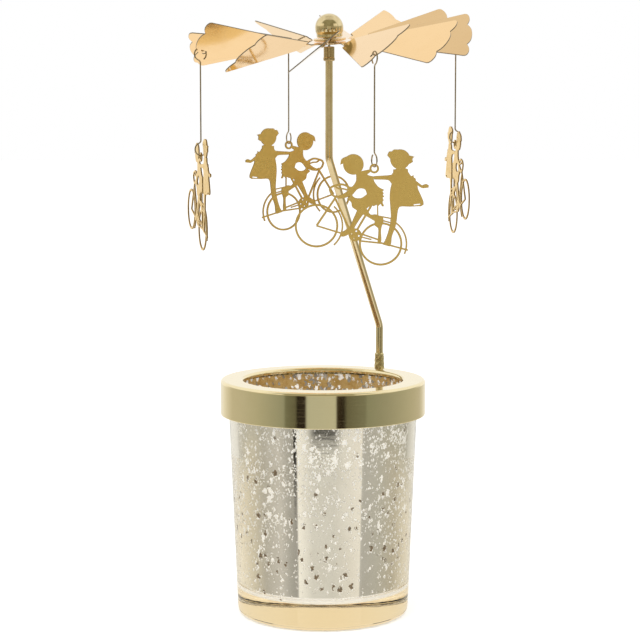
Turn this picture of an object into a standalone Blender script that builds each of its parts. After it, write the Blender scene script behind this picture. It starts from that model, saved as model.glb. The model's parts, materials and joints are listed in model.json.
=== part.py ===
"""Candle carousel: a glass tealight cup with a loose metal collar, a bent mast and a twelve-bladed
fan that turns on a needle point and carries four hanging charms.

Units are metres and +Z is up. The origin is the middle of the glass's flat foot.
The fan and all that hangs on it sit at the small tilt that they have in the reference.
"""

import math

import bmesh
import bpy
from mathutils import Matrix, Vector
from mathutils.geometry import delaunay_2d_cdt

# General
GAP = 0.0003
OVERRUN = 0.002
MERGE = 0.000001
FULL_TURN = 2.0 * math.pi
ROUND_STEPS = 48
SMALL_STEPS = 24
CORNER_STEPS = 4

# Glass cup
CUP_HEIGHT = 0.0859
CUP_RIM_RADIUS = 0.03495
CUP_FOOT_RADIUS = 0.03135
CUP_WALL = 0.0029
CUP_FLOOR = 0.0095
CUP_FOOT_ROUND = 0.0025
CUP_RIM_ROUND = 0.0011
CUP_HEEL_ROUND = 0.0030

# Collar: a spun sheet ring of inverted U section that rests on the glass rim
COLLAR_SHEET = 0.0008
COLLAR_PLAY = 0.00175
COLLAR_FLANGE = 0.00835
COLLAR_RADIUS = CUP_RIM_RADIUS + COLLAR_SHEET + COLLAR_PLAY
COLLAR_OPENING_RADIUS = COLLAR_RADIUS - COLLAR_FLANGE
COLLAR_SKIRT = 0.0128
COLLAR_LIP = 0.0018
COLLAR_ROUND = 0.0011
COLLAR_TOP = CUP_HEIGHT + GAP + COLLAR_SHEET

# Mast: a rod bent twice, from the collar's flange to the fan's axis
MAST_RADIUS = 0.0014
MAST_BEND_RADIUS = 0.0055
MAST_BEND_STEPS = 5
MAST_SIDES_LEVEL = 6
MAST_FOOT_SHARE = 0.3413
MAST_FOOT_DISTANCE = COLLAR_OPENING_RADIUS + COLLAR_FLANGE * MAST_FOOT_SHARE
MAST_FOOT_AZIMUTH_DEG = 48.0
MAST_LOWER_RISE = 0.0170
MAST_SLANT_RISE = 0.0633
MAST_UPPER_RISE = 0.0385
AXIS_OFFSET = 0.0022
MAST_TOP = COLLAR_TOP + MAST_LOWER_RISE + MAST_SLANT_RISE + MAST_UPPER_RISE

# Sleeve brazed round the mast where it leaves the collar
SLEEVE_WALL = 0.0005
SLEEVE_HEIGHT = 0.0062
SLEEVE_BULGE = 0.00015
SLEEVE_CHAMFER = 0.0003

# Headed needle in the ferrule that closes the mast's top
NEEDLE_RADIUS = 0.0005
NEEDLE_HEAD_RADIUS = 0.0013
NEEDLE_HEAD_HEIGHT = 0.0006
NEEDLE_LENGTH = 0.0088
NEEDLE_POINT = 0.0015
NEEDLE_TIP_RADIUS = 0.00008
FERRULE_WALL = 0.0004
FERRULE_LENGTH = 0.0052
FERRULE_CAP = 0.0006
FERRULE_CHAMFER = 0.00035
PIVOT_HEIGHT = MAST_TOP + GAP + NEEDLE_LENGTH + GAP

# Fan hub, measured down or up from the needle's point along the fan's own axis
FAN_TILT_DEG = 6.35
FAN_LOW_AZIMUTH_DEG = 241.7
FAN_DROP = 0.0060
FAN_SHEET = 0.0004
DIMPLE_DEPTH = 0.0009
BEARING_RADIUS = 0.0017
BEARING_HEIGHT = 0.0016
BEARING_PLAY = 0.0004
BUSHING_BORE_RADIUS = 0.0016
BUSHING_WALL = 0.00055
BUSHING_FLANGE_RADIUS = 0.0028
BUSHING_FLANGE = 0.0004
SHANK_RADIUS = BUSHING_BORE_RADIUS + BUSHING_WALL
HUB_HOLE_RADIUS = SHANK_RADIUS + GAP
WASHER_RADIUS = 0.0058
WASHER_THICKNESS = 0.0010
WASHER_CHAMFER = 0.0002
CAP_RADIUS = 0.0051
CAP_MOUTH_RADIUS = 0.0047
CAP_SKIRT = 0.0033
CAP_MOUTH_ROUND = 0.0004
CAP_HEIGHT = CAP_SKIRT + CAP_RADIUS
CAP_DOME_STEPS = 6

# Fan blades
BLADE_COUNT = 12
BLADE_FIRST_AZIMUTH_DEG = -6.8
BLADE_TURNS_DEG = (-0.1, -0.5, 0.8, 0.0, 0.5, 0.0, 0.0, 0.9, 0.5, -0.1, -0.8, -1.1)
BLADE_TWISTS_DEG = (36.7, 38.2, 36.5, 36.3, 36.6, 36.3, 35.4, 39.5, 33.6, 36.1, 35.1, 35.1)
BLADE_RISES_DEG = (0.7, 1.9, 1.9, 0.9, 0.2, 0.9, -0.7, 5.2, 0.2, 0.2, 1.1, 0.1)
BLADE_ROOT = 0.0160
BLADE_CORNER = 0.0483
BLADE_TIP_REACH = 0.0029
BLADE_SLOT_SHARE = 0.00167 / 0.0483
FAN_DISC_RADIUS = 0.0120
NECK_HALF_WIDTH = 0.0012
NECK_SHARES = ((0.12, 0.0), (0.34, 0.22), (0.56, 0.52), (0.78, 0.82), (0.9, 1.0))
DISC_STEPS_BETWEEN_NECKS = 3
TIP_SHARES = (
    (-1.0, 0.0), (-0.985, 0.28), (-0.92, 0.5), (-0.82, 0.63), (-0.7, 0.66), (-0.58, 0.56), (-0.47, 0.38),
    (-0.38, 0.66), (-0.26, 0.87), (-0.13, 0.97), (0.0, 1.0), (0.13, 0.97), (0.26, 0.87), (0.38, 0.66),
    (0.47, 0.38), (0.58, 0.56), (0.7, 0.66), (0.82, 0.63), (0.92, 0.5), (0.985, 0.28), (1.0, 0.0),
)
NOTCH_LATERAL_SHARE = 0.46
NOTCH_REACH_SHARE = 0.38

# Hangers: a wire with an open eye at each end
HANGER_EVERY = 3
HANGER_FIRST_BLADE = 1
WIRE_RADIUS = 0.00025
WIRE_SIDES_LEVEL = 1
LOOP_RADIUS = 0.0022
LOOP_STEPS = 13
LOOP_KINK = 0.00095
LOOP_JOIN_DEG = 25.0
LOOP_END_DEG = 35.0
HANGER_LENGTH = 0.0348
HANGER_LENGTH_SHARES = (1.016, 1.007, 0.96, 0.99)
HANGER_STEM_STEPS = 4
HANG_DROP = 0.0008
HANG_STRIP = 0.0008
HANG_HOLE_RADIUS = 0.00085
HANG_HOLE_STEPS = 12

# Charms: flat figures of two children on a bicycle, all places as shares of the wheelbase
CHARM_SHEET = 0.0005
CHARM_TURNS_DEG = (-15.1, 3.6, -10.4, -21.1)
WHEELBASE = 0.0227
WHEEL_RADIUS = 0.0074
WHEEL_RIM = 0.0007
WHEEL_STEPS = 26
GUARD_RADIUS = 0.0091
GUARD_WIDTH = 0.00055
GUARD_STEPS = 6
FRONT_GUARD_DEG = (116.0, 212.0)
REAR_GUARD_DEG = (96.0, 187.0)
TUBE_WIDTH = 0.0007
STAY_WIDTH = 0.00055
THIN_WIDTH = 0.00045
EYE_RADIUS = 0.00165
EYE_HOLE_RADIUS = 0.00095
EYE_STEPS = 12
EYE_PLAY = EYE_HOLE_RADIUS - WIRE_RADIUS - GAP / 2.0
CHAINRING_RADIUS = 0.0022
CHAINRING_HOLE_RADIUS = 0.0003
CHAINRING_HOLE_CIRCLE = 0.0013
CHAINRING_HOLES = 4
CHAINRING_HOLE_STEPS = 6
HEAD_STEPS = 14
GIRL_HEAD_RADIUS = 0.0034
RIDER_HEAD_RADIUS = 0.0035
OUTLINE_WELD = 0.00009
LEAST_WINDOW = 0.0003

REAR_HUB_SHARE = (0.0, 0.0)
FRONT_HUB_SHARE = (1.0, 0.0)
CHAINRING_SHARE = (0.405, 0.026)
EYE_SHARE = (0.405, 1.057)
GIRL_HEAD_SHARE = (0.07, 1.295)
RIDER_HEAD_SHARE = (0.722, 1.031)
GIRL_FRINGE_SHARES = ((0.13, 1.43), (0.2, 1.41), (0.226, 1.375), (0.262, 1.36), (0.274, 1.3), (0.2, 1.25), (0.1, 1.3))
GIRL_CURL_SHARES = ((-0.03, 1.38), (-0.12, 1.392), (-0.104, 1.352), (-0.124, 1.31), (-0.075, 1.265), (0.04, 1.23), (0.05, 1.3))
GIRL_BODY_SHARES = (
    (0.0, 1.24), (-0.01, 1.195), (-0.085, 1.185), (-0.095, 1.15), (-0.158, 1.1), (-0.19, 1.125), (-0.2, 1.095),
    (-0.236, 1.08), (-0.24, 1.056), (-0.352, 1.013), (-0.38, 1.035), (-0.41, 1.05), (-0.45, 1.04), (-0.455, 1.006),
    (-0.415, 0.99), (-0.366, 0.973), (-0.288, 0.992), (-0.31, 0.945), (-0.395, 0.845), (-0.44, 0.785),
    (-0.455, 0.742), (-0.425, 0.708), (-0.395, 0.7), (-0.26, 0.655), (-0.13, 0.618), (-0.11, 0.555),
    (-0.135, 0.4), (-0.142, 0.3), (-0.132, 0.16), (-0.15, 0.05), (-0.14, 0.0), (-0.03, 0.0), (-0.05, 0.08),
    (-0.058, 0.21), (-0.045, 0.39), (0.005, 0.545), (0.06, 0.695), (0.088, 0.82), (0.092, 0.91), (0.16, 0.948),
    (0.36, 0.9), (0.375, 0.95), (0.14, 1.035), (0.12, 1.08), (0.13, 1.12), (0.09, 1.14), (0.1, 1.2),
)
GIRL_HEM_SLOT_SHARES = ((-0.31, 0.705), (-0.4, 0.742), (-0.412, 0.732), (-0.395, 0.722), (-0.318, 0.69))
RIDER_FRINGE_SHARES = ((0.79, 1.16), (0.875, 1.1), (0.915, 1.052), (0.91, 0.972), (0.868, 1.005), (0.82, 0.97), (0.76, 1.03))
RIDER_LINK_SHARES = ((0.62, 0.945), (0.53, 0.995), (0.475, 0.955), (0.52, 0.925), (0.57, 0.9))
RIDER_LINK_EYE_SHARES = ((0.78418, -0.37145), (0.48152, -0.78418))
RIDER_BODY_SHARES = (
    (0.67, 0.93), (0.61, 0.945), (0.52, 0.955), (0.45, 0.938), (0.365, 0.945), (0.36, 0.885), (0.272, 0.815),
    (0.175, 0.793), (0.19, 0.762), (0.166, 0.742), (0.173, 0.714), (0.144, 0.7), (0.164, 0.672), (0.14, 0.642),
    (0.146, 0.612), (0.106, 0.556), (0.136, 0.545), (0.168, 0.578), (0.19, 0.538), (0.22, 0.546), (0.258, 0.512),
    (0.292, 0.524), (0.35, 0.454), (0.27, 0.385), (0.2, 0.405), (0.135, 0.402), (0.075, 0.395), (0.052, 0.33),
    (0.056, 0.26), (0.048, 0.185), (0.008, 0.07), (0.0, 0.0), (0.05, 0.0), (0.068, 0.09), (0.1, 0.21),
    (0.165, 0.243), (0.182, 0.305), (0.28, 0.33), (0.375, 0.352), (0.402, 0.28), (0.44, 0.15), (0.45, 0.075),
    (0.545, -0.035), (0.625, -0.06), (0.61, 0.005), (0.52, 0.125), (0.498, 0.26), (0.48, 0.385), (0.562, 0.414),
    (0.6, 0.48), (0.675, 0.51), (0.67, 0.55), (0.63, 0.575), (0.72, 0.508), (0.81, 0.475), (0.83, 0.505),
    (0.745, 0.57), (0.695, 0.635), (0.725, 0.68), (0.72, 0.705), (0.675, 0.7), (0.645, 0.715), (0.618, 0.8),
    (0.64, 0.89),
)
ARM_GAP_SHARES = ((0.612, 0.585), (0.565, 0.685), (0.515, 0.718), (0.45, 0.718), (0.405, 0.66), (0.47, 0.583), (0.56, 0.56))
HANDLEBAR_SHARES = ((0.7, 0.692), (0.81, 0.697), (0.935, 0.627), (0.958, 0.572), (0.91, 0.515), (0.83, 0.485))
GRIP_SHARES = ((0.7, 0.64), (0.77, 0.64), (0.84, 0.625), (0.9, 0.645))
FRAME_TUBE_SHARES = (
    ((0.83, 0.52), (1.0, 0.0)),
    ((0.835, 0.46), (0.52, 0.09)),
    ((0.29, 0.53), (0.4, 0.1)),
)
STAY_SHARES = (
    ((1.0, 0.0), (0.59, -0.008)),
    ((0.33, -0.045), (-0.02, 0.016)),
    ((0.05, 0.016), (-0.42, 0.022)),
    ((0.32, 0.065), (0.01, 0.05)),
)
THIN_BAR_SHARES = (
    ((0.21, 0.56), (0.155, 0.38)),
    ((0.15, 0.392), (-0.07, 0.412)),
    ((0.08, 0.345), (-0.09, 0.347)),
    ((0.32, 0.02), (0.15, 0.025)),
)

# Colours of the plain model
GLASS_COLOUR = (0.9, 0.88, 0.82, 1.0)
BRASS_COLOUR = (0.72, 0.62, 0.36, 1.0)
STEEL_COLOUR = (0.6, 0.6, 0.6, 1.0)
GOLD_SHEET_COLOUR = (0.95, 0.76, 0.48, 1.0)
WIRE_COLOUR = (0.62, 0.56, 0.44, 1.0)


def clear_scene():
    for item in list(bpy.data.objects):
        bpy.data.objects.remove(item, do_unlink=True)


def make_material(name, colour, roughness, metallic):
    material = bpy.data.materials.new(name)
    material.use_nodes = True
    shader = material.node_tree.nodes["Principled BSDF"]
    shader.inputs["Base Color"].default_value = colour
    shader.inputs["Roughness"].default_value = roughness
    shader.inputs["Metallic"].default_value = metallic
    material.diffuse_color = colour
    return material


def make_empty(name, parent, place):
    empty = bpy.data.objects.new(name, None)
    bpy.context.collection.objects.link(empty)
    empty.parent = parent
    empty.matrix_basis = place
    return empty


def make_object(name, data, parent, colour, roughness, metallic):
    piece = bpy.data.objects.new(name, data)
    bpy.context.collection.objects.link(piece)
    piece.parent = parent
    data.materials.append(make_material(name + "_finish", colour, roughness, metallic))
    return piece


def make_cutter(name, mesh, parent):
    cutter = bpy.data.objects.new(name, mesh)
    bpy.context.collection.objects.link(cutter)
    cutter.parent = parent
    cutter.hide_render = True
    cutter.display_type = "WIRE"
    return cutter


def cut(piece, cutter):
    modifier = piece.modifiers.new("cut", "BOOLEAN")
    modifier.operation = "DIFFERENCE"
    modifier.solver = "EXACT"
    modifier.object = cutter


def shade(mesh, angle_deg=35.0):
    mesh.shade_smooth()
    mesh.set_sharp_from_angle(angle=math.radians(angle_deg))


def arc(centre, radius, start_deg, end_deg, steps):
    points = []
    for step in range(steps + 1):
        angle = math.radians(start_deg + (end_deg - start_deg) * step / steps)
        points.append((centre[0] + radius * math.cos(angle), centre[1] + radius * math.sin(angle)))
    return points


def turned_mesh(name, profile, steps, closed):
    """Spin a profile of (radius, height) points round the local Z axis into one closed body."""
    shape = bmesh.new()
    ring = [shape.verts.new((radius, 0, height)) for radius, height in profile]
    edges = [shape.edges.new(pair) for pair in zip(ring, ring[1:])]
    if closed:
        edges.append(shape.edges.new((ring[-1], ring[0])))
    bmesh.ops.spin(shape, geom=ring + edges, cent=(0, 0, 0), axis=(0, 0, 1), angle=FULL_TURN,
                   steps=steps, use_merge=True)
    bmesh.ops.remove_doubles(shape, verts=shape.verts, dist=MERGE)
    bmesh.ops.recalc_face_normals(shape, faces=shape.faces)
    mesh = bpy.data.meshes.new(name)
    shape.to_mesh(mesh)
    shape.free()
    shade(mesh)
    return mesh


def tube_curve(name, points, radius, sides_level):
    curve = bpy.data.curves.new(name, "CURVE")
    curve.dimensions = "3D"
    curve.bevel_depth = radius
    curve.bevel_resolution = sides_level
    curve.use_fill_caps = True
    spline = curve.splines.new("POLY")
    spline.points.add(len(points) - 1)
    for target, point in zip(spline.points, points):
        target.co = (point[0], point[1], point[2], 1.0)
    return curve


def cylinder_mesh(name, places, radius, length, steps):
    """Closed cylinders, each along the local Z axis of one of the places."""
    shape = bmesh.new()
    for place in places:
        bmesh.ops.create_cone(shape, cap_ends=True, segments=steps, radius1=radius, radius2=radius,
                              depth=length, matrix=place)
    mesh = bpy.data.meshes.new(name)
    shape.to_mesh(mesh)
    shape.free()
    return mesh


def build_cup():
    taper = (CUP_RIM_RADIUS - CUP_FOOT_RADIUS) / CUP_HEIGHT

    def outside(height):
        return CUP_FOOT_RADIUS + taper * height

    def inside(height):
        return outside(height) - CUP_WALL

    foot = (outside(CUP_FOOT_ROUND) - CUP_FOOT_ROUND, CUP_FOOT_ROUND)
    outer_rim = (outside(CUP_HEIGHT) - CUP_RIM_ROUND, CUP_HEIGHT - CUP_RIM_ROUND)
    inner_rim = (inside(CUP_HEIGHT) + CUP_RIM_ROUND, CUP_HEIGHT - CUP_RIM_ROUND)
    heel_height = CUP_FLOOR + CUP_HEEL_ROUND
    heel = (inside(heel_height) - CUP_HEEL_ROUND, heel_height)
    profile = [(0, 0)]
    profile += arc(foot, CUP_FOOT_ROUND, -90.0, 0.0, CORNER_STEPS)
    profile += arc(outer_rim, CUP_RIM_ROUND, 0.0, 90.0, CORNER_STEPS)
    profile += arc(inner_rim, CUP_RIM_ROUND, 90.0, 180.0, CORNER_STEPS)
    profile += arc(heel, CUP_HEEL_ROUND, 0.0, -90.0, CORNER_STEPS)
    profile.append((0, CUP_FLOOR))
    mesh = turned_mesh("glass_cup", profile, ROUND_STEPS, closed=False)
    make_object("glass_cup", mesh, None, GLASS_COLOUR, 0.05, 0.0)


def mast_foot():
    azimuth = math.radians(MAST_FOOT_AZIMUTH_DEG)
    return Vector((MAST_FOOT_DISTANCE * math.cos(azimuth), MAST_FOOT_DISTANCE * math.sin(azimuth), 0))


def build_collar(lift):
    """The collar's own heights are measured down from its top face."""
    outer_inside = COLLAR_RADIUS - COLLAR_SHEET
    lip_outside = COLLAR_OPENING_RADIUS + COLLAR_SHEET
    inner_round = COLLAR_ROUND - COLLAR_SHEET
    profile = [(COLLAR_RADIUS, -COLLAR_SKIRT)]
    profile += arc((COLLAR_RADIUS - COLLAR_ROUND, -COLLAR_ROUND), COLLAR_ROUND, 0.0, 90.0, CORNER_STEPS)
    profile += arc((COLLAR_OPENING_RADIUS + COLLAR_ROUND, -COLLAR_ROUND), COLLAR_ROUND, 90.0, 180.0, CORNER_STEPS)
    profile.append((COLLAR_OPENING_RADIUS, -COLLAR_LIP))
    profile.append((lip_outside, -COLLAR_LIP))
    profile.append((lip_outside, -COLLAR_SHEET - inner_round))
    profile.append((lip_outside + inner_round, -COLLAR_SHEET))
    profile.append((outer_inside - inner_round, -COLLAR_SHEET))
    profile.append((outer_inside, -COLLAR_SHEET - inner_round))
    profile.append((outer_inside, -COLLAR_SKIRT))
    mesh = turned_mesh("collar_ring", profile, ROUND_STEPS, closed=True)
    collar = make_object("collar_ring", mesh, lift, BRASS_COLOUR, 0.15, 1.0)
    hole = Matrix.Translation(mast_foot())
    drill = cylinder_mesh("mast_hole_cutter", [hole], MAST_RADIUS + GAP, OVERRUN * 2.0, SMALL_STEPS)
    cut(collar, make_cutter("mast_hole_cutter", drill, lift))


def rounded_path(corners, radius, steps):
    """Straight runs through the corners, with an arc of the given radius at each inner corner."""
    points = [corners[0]]
    for before, corner, after in zip(corners, corners[1:], corners[2:]):
        inward = (before - corner).normalized()
        onward = (after - corner).normalized()
        half_angle = inward.angle(onward) / 2.0
        setback = radius / math.tan(half_angle)
        middle = corner + (inward + onward).normalized() * (radius / math.sin(half_angle))
        start = corner + inward * setback - middle
        end = corner + onward * setback - middle
        sweep = start.angle(end)
        for step in range(steps + 1):
            share = step / steps
            weight_start = math.sin(sweep * (1.0 - share)) / math.sin(sweep)
            weight_end = math.sin(sweep * share) / math.sin(sweep)
            points.append(middle + start * weight_start + end * weight_end)
    points.append(corners[-1])
    return points


def build_mast(lift):
    """Heights are measured from the collar's top face."""
    foot = mast_foot()
    top = Vector((AXIS_OFFSET, 0, 0))
    lower = MAST_LOWER_RISE
    upper = MAST_LOWER_RISE + MAST_SLANT_RISE
    corners = [
        foot + Vector((0, 0, -COLLAR_SHEET)),
        foot + Vector((0, 0, lower)),
        top + Vector((0, 0, upper)),
        top + Vector((0, 0, MAST_TOP - COLLAR_TOP)),
    ]
    path = rounded_path(corners, MAST_BEND_RADIUS, MAST_BEND_STEPS)
    curve = tube_curve("mast", path, MAST_RADIUS, MAST_SIDES_LEVEL)
    make_object("mast", curve, lift, BRASS_COLOUR, 0.2, 1.0)

    bore = MAST_RADIUS + GAP
    wall = bore + SLEEVE_WALL
    bottom = GAP
    height = bottom + SLEEVE_HEIGHT
    profile = [
        (bore, bottom),
        (wall, bottom),
        (wall + SLEEVE_BULGE, bottom + SLEEVE_HEIGHT * 0.35),
        (wall + SLEEVE_BULGE, bottom + SLEEVE_HEIGHT * 0.65),
        (wall, height - SLEEVE_CHAMFER),
        (wall - SLEEVE_CHAMFER, height),
        (bore, height),
    ]
    mesh = turned_mesh("mast_foot_sleeve", profile, SMALL_STEPS, closed=True)
    sleeve = make_object("mast_foot_sleeve", mesh, lift, BRASS_COLOUR, 0.35, 1.0)
    sleeve.location = foot


def build_needle_and_ferrule(lift):
    """Both are turned round the fan's vertical axis, with heights from the mast's top."""
    mast_top = Matrix.Translation((AXIS_OFFSET, 0, MAST_TOP - COLLAR_TOP))
    seat = make_empty("mast_top_seat", lift, mast_top)

    head_bottom = GAP
    head_top = head_bottom + NEEDLE_HEAD_HEIGHT
    tip = head_bottom + NEEDLE_LENGTH
    needle = [
        (0, head_bottom),
        (NEEDLE_HEAD_RADIUS, head_bottom),
        (NEEDLE_HEAD_RADIUS, head_top),
        (NEEDLE_RADIUS, head_top),
        (NEEDLE_RADIUS, tip - NEEDLE_POINT),
        (NEEDLE_TIP_RADIUS, tip),
        (0, tip),
    ]
    mesh = turned_mesh("pivot_needle", needle, SMALL_STEPS // 2, closed=False)
    make_object("pivot_needle", mesh, seat, STEEL_COLOUR, 0.25, 1.0)

    bore = MAST_RADIUS + GAP
    wall = bore + FERRULE_WALL
    under_cap = head_top + GAP
    top = under_cap + FERRULE_CAP
    bottom = top - FERRULE_LENGTH
    ferrule = [
        (bore, bottom),
        (wall - FERRULE_CHAMFER / 2.0, bottom),
        (wall, bottom + FERRULE_CHAMFER),
        (wall, top),
        (NEEDLE_RADIUS + GAP, top),
        (NEEDLE_RADIUS + GAP, under_cap),
        (bore, under_cap),
    ]
    mesh = turned_mesh("mast_ferrule", ferrule, SMALL_STEPS, closed=True)
    make_object("mast_ferrule", mesh, seat, BRASS_COLOUR, 0.2, 1.0)


def build_hub(spin, tilted):
    """Turned pieces on the fan's tilted axis, with heights from the needle's point. The bearing cup sits upright."""
    bearing_top = BEARING_HEIGHT - DIMPLE_DEPTH
    bearing = [
        (0, 0),
        (DIMPLE_DEPTH, -DIMPLE_DEPTH),
        (BEARING_RADIUS, -DIMPLE_DEPTH),
        (BEARING_RADIUS, bearing_top),
        (0, bearing_top),
    ]
    mesh = turned_mesh("bearing_cup", bearing, SMALL_STEPS, closed=False)
    make_object("bearing_cup", mesh, spin, STEEL_COLOUR, 0.3, 1.0)

    fan_under = -FAN_DROP - FAN_SHEET / 2.0
    flange_top = fan_under - GAP
    flange_bottom = flange_top - BUSHING_FLANGE
    shank_top = -DIMPLE_DEPTH - BEARING_PLAY
    bushing = [
        (BUSHING_BORE_RADIUS, flange_bottom),
        (BUSHING_FLANGE_RADIUS, flange_bottom),
        (BUSHING_FLANGE_RADIUS, flange_top),
        (SHANK_RADIUS, flange_top),
        (SHANK_RADIUS, shank_top),
        (BUSHING_BORE_RADIUS, shank_top),
    ]
    mesh = turned_mesh("hub_bushing", bushing, SMALL_STEPS, closed=True)
    make_object("hub_bushing", mesh, tilted, BRASS_COLOUR, 0.25, 1.0)

    washer_bottom = -FAN_DROP + FAN_SHEET / 2.0 + GAP
    washer_top = washer_bottom + WASHER_THICKNESS
    washer = [
        (HUB_HOLE_RADIUS, washer_bottom),
        (WASHER_RADIUS - WASHER_CHAMFER, washer_bottom),
        (WASHER_RADIUS, washer_bottom + WASHER_CHAMFER),
        (WASHER_RADIUS, washer_top - WASHER_CHAMFER),
        (WASHER_RADIUS - WASHER_CHAMFER, washer_top),
        (HUB_HOLE_RADIUS, washer_top),
    ]
    mesh = turned_mesh("cap_washer", washer, SMALL_STEPS, closed=True)
    make_object("cap_washer", mesh, tilted, GOLD_SHEET_COLOUR, 0.2, 1.0)

    mouth = washer_top + GAP
    bore_top = bearing_top + BEARING_PLAY
    dome_centre = (0, mouth + CAP_SKIRT)
    cap = [(0, bore_top), (HUB_HOLE_RADIUS, bore_top), (HUB_HOLE_RADIUS, mouth)]
    cap.append((CAP_MOUTH_RADIUS - CAP_MOUTH_ROUND, mouth))
    cap.append((CAP_MOUTH_RADIUS, mouth + CAP_MOUTH_ROUND))
    cap += arc(dome_centre, CAP_RADIUS, 0.0, 90.0, CAP_DOME_STEPS)[:-1]
    cap.append((0, mouth + CAP_HEIGHT))
    mesh = turned_mesh("pivot_cap", cap, SMALL_STEPS, closed=False)
    make_object("pivot_cap", mesh, tilted, BRASS_COLOUR, 0.12, 1.0)


def blade_half_width(reach):
    """The sides run parallel to the radial lines that divide the disc into equal shares."""
    return reach * math.tan(math.pi / BLADE_COUNT) - BLADE_CORNER * BLADE_SLOT_SHARE


def blade_azimuth(index):
    turn = BLADE_TURNS_DEG[index % len(BLADE_TURNS_DEG)]
    return math.radians(BLADE_FIRST_AZIMUTH_DEG + turn) + FULL_TURN * index / BLADE_COUNT


def blade_twist(index):
    return math.radians(BLADE_TWISTS_DEG[index % len(BLADE_TWISTS_DEG)])


def blade_rise(index):
    return math.radians(BLADE_RISES_DEG[index % len(BLADE_RISES_DEG)])


def blade_point(index, reach, lateral, twist_share):
    """A point of the bent sheet's middle surface, in the fan's frame, with the disc at height zero."""
    twist = blade_twist(index) * twist_share
    rise = blade_rise(index) * min(twist_share, 1.0)
    beyond = reach - FAN_DISC_RADIUS
    out = FAN_DISC_RADIUS + beyond * math.cos(rise)
    side = lateral * math.cos(twist)
    up = beyond * math.sin(rise) + lateral * math.sin(twist)
    turn = Matrix.Rotation(blade_azimuth(index), 3, "Z")
    return turn @ Vector((out, side, up))


def build_fan(tilted):
    """A stamped sheet: a flat disc with a hole, and blades twisted at their necks."""
    shape = bmesh.new()
    seat = Matrix.Translation((0, 0, -FAN_DROP))

    def new_vert(point):
        return shape.verts.new(seat @ Vector(point))

    neck_angle = math.asin(NECK_HALF_WIDTH / FAN_DISC_RADIUS)
    rim_angles = []
    for index in range(BLADE_COUNT):
        start = blade_azimuth(index) + neck_angle
        following = blade_azimuth((index + 1) % BLADE_COUNT) + FULL_TURN * ((index + 1) // BLADE_COUNT)
        spread = following - neck_angle - start
        rim_angles.append(start - 2.0 * neck_angle)
        for step in range(DISC_STEPS_BETWEEN_NECKS):
            rim_angles.append(start + spread * step / DISC_STEPS_BETWEEN_NECKS)
    rim = [new_vert((FAN_DISC_RADIUS * math.cos(a), FAN_DISC_RADIUS * math.sin(a), 0)) for a in rim_angles]
    hole = [new_vert((HUB_HOLE_RADIUS * math.cos(a), HUB_HOLE_RADIUS * math.sin(a), 0)) for a in rim_angles]
    for place in range(len(rim)):
        following = (place + 1) % len(rim)
        shape.faces.new((hole[place], rim[place], rim[following], hole[following]))

    neck_length = BLADE_ROOT - FAN_DISC_RADIUS
    stride = len(rim) // BLADE_COUNT
    for index in range(BLADE_COUNT):
        previous = (rim[index * stride], rim[index * stride + 1])
        for length_share, twist_share in NECK_SHARES:
            reach = FAN_DISC_RADIUS + neck_length * length_share
            pair = tuple(new_vert(blade_point(index, reach, side * NECK_HALF_WIDTH, twist_share)) for side in (-1.0, 1.0))
            shape.faces.new((previous[0], pair[0], pair[1], previous[1]))
            previous = pair
        root_width = blade_half_width(BLADE_ROOT)
        outline = [new_vert(blade_point(index, BLADE_ROOT, -root_width, 1.0))]
        tip_width = blade_half_width(BLADE_CORNER)
        for lateral_share, reach_share in TIP_SHARES:
            reach = BLADE_CORNER + BLADE_TIP_REACH * reach_share
            outline.append(new_vert(blade_point(index, reach, tip_width * lateral_share, 1.0)))
        outline.append(new_vert(blade_point(index, BLADE_ROOT, root_width, 1.0)))
        shape.faces.new([previous[0]] + outline + [previous[1]])
    mesh = bpy.data.meshes.new("fan_wheel")
    shape.to_mesh(mesh)
    shape.free()
    fan = make_object("fan_wheel", mesh, tilted, GOLD_SHEET_COLOUR, 0.15, 1.0)
    thickness = fan.modifiers.new("sheet", "SOLIDIFY")
    thickness.thickness = FAN_SHEET
    thickness.offset = 0.0
    thickness.use_even_offset = True

    to_local = tilted.matrix_basis.inverted()
    places = [to_local @ hang_places(tilted, index)[2] for index in hanger_blades()]
    drill = cylinder_mesh("hang_hole_cutter", places, HANG_HOLE_RADIUS, OVERRUN, HANG_HOLE_STEPS)
    cut(fan, make_cutter("hang_hole_cutter", drill, tilted))


def hanger_blades():
    return range(HANGER_FIRST_BLADE, BLADE_COUNT, HANGER_EVERY)


def hang_reach():
    """The radius at which a hanger's upper eye is centred, just inside the blade's notch."""
    return BLADE_CORNER + BLADE_TIP_REACH * NOTCH_REACH_SHARE - HANG_STRIP


def hang_places(tilted, index):
    """In the spin frame: an upper eye's centre, its heading, and the hole that its wire passes, square to the sheet."""
    seat = tilted.matrix_basis @ Matrix.Translation((0, 0, -FAN_DROP))
    lateral = -NOTCH_LATERAL_SHARE * blade_half_width(BLADE_CORNER)
    hang = seat @ blade_point(index, hang_reach(), lateral, 1.0)
    inner = seat @ blade_point(index, BLADE_ROOT, lateral, 1.0)
    beside = seat @ blade_point(index, hang_reach(), 0, 1.0)
    normal = (hang - inner).cross(beside - inner).normalized()
    heading = math.atan2(hang.y - inner.y, hang.x - inner.x)
    level = Vector((math.cos(heading), math.sin(heading), 0))
    upward = Vector((0, 0, 1.0))
    centre = hang - upward * HANG_DROP
    phase = math.atan2(normal.dot(upward), normal.dot(level))
    spread = math.hypot(normal.dot(upward), normal.dot(level))
    half = math.acos(normal.dot(hang - centre) / (LOOP_RADIUS * spread))
    angle = min(phase - half, phase + half, key=math.cos)
    crossing = centre + (level * math.cos(angle) + upward * math.sin(angle)) * LOOP_RADIUS
    return centre, heading, Matrix.Translation(crossing) @ normal.to_track_quat("Z", "Y").to_matrix().to_4x4()


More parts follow.
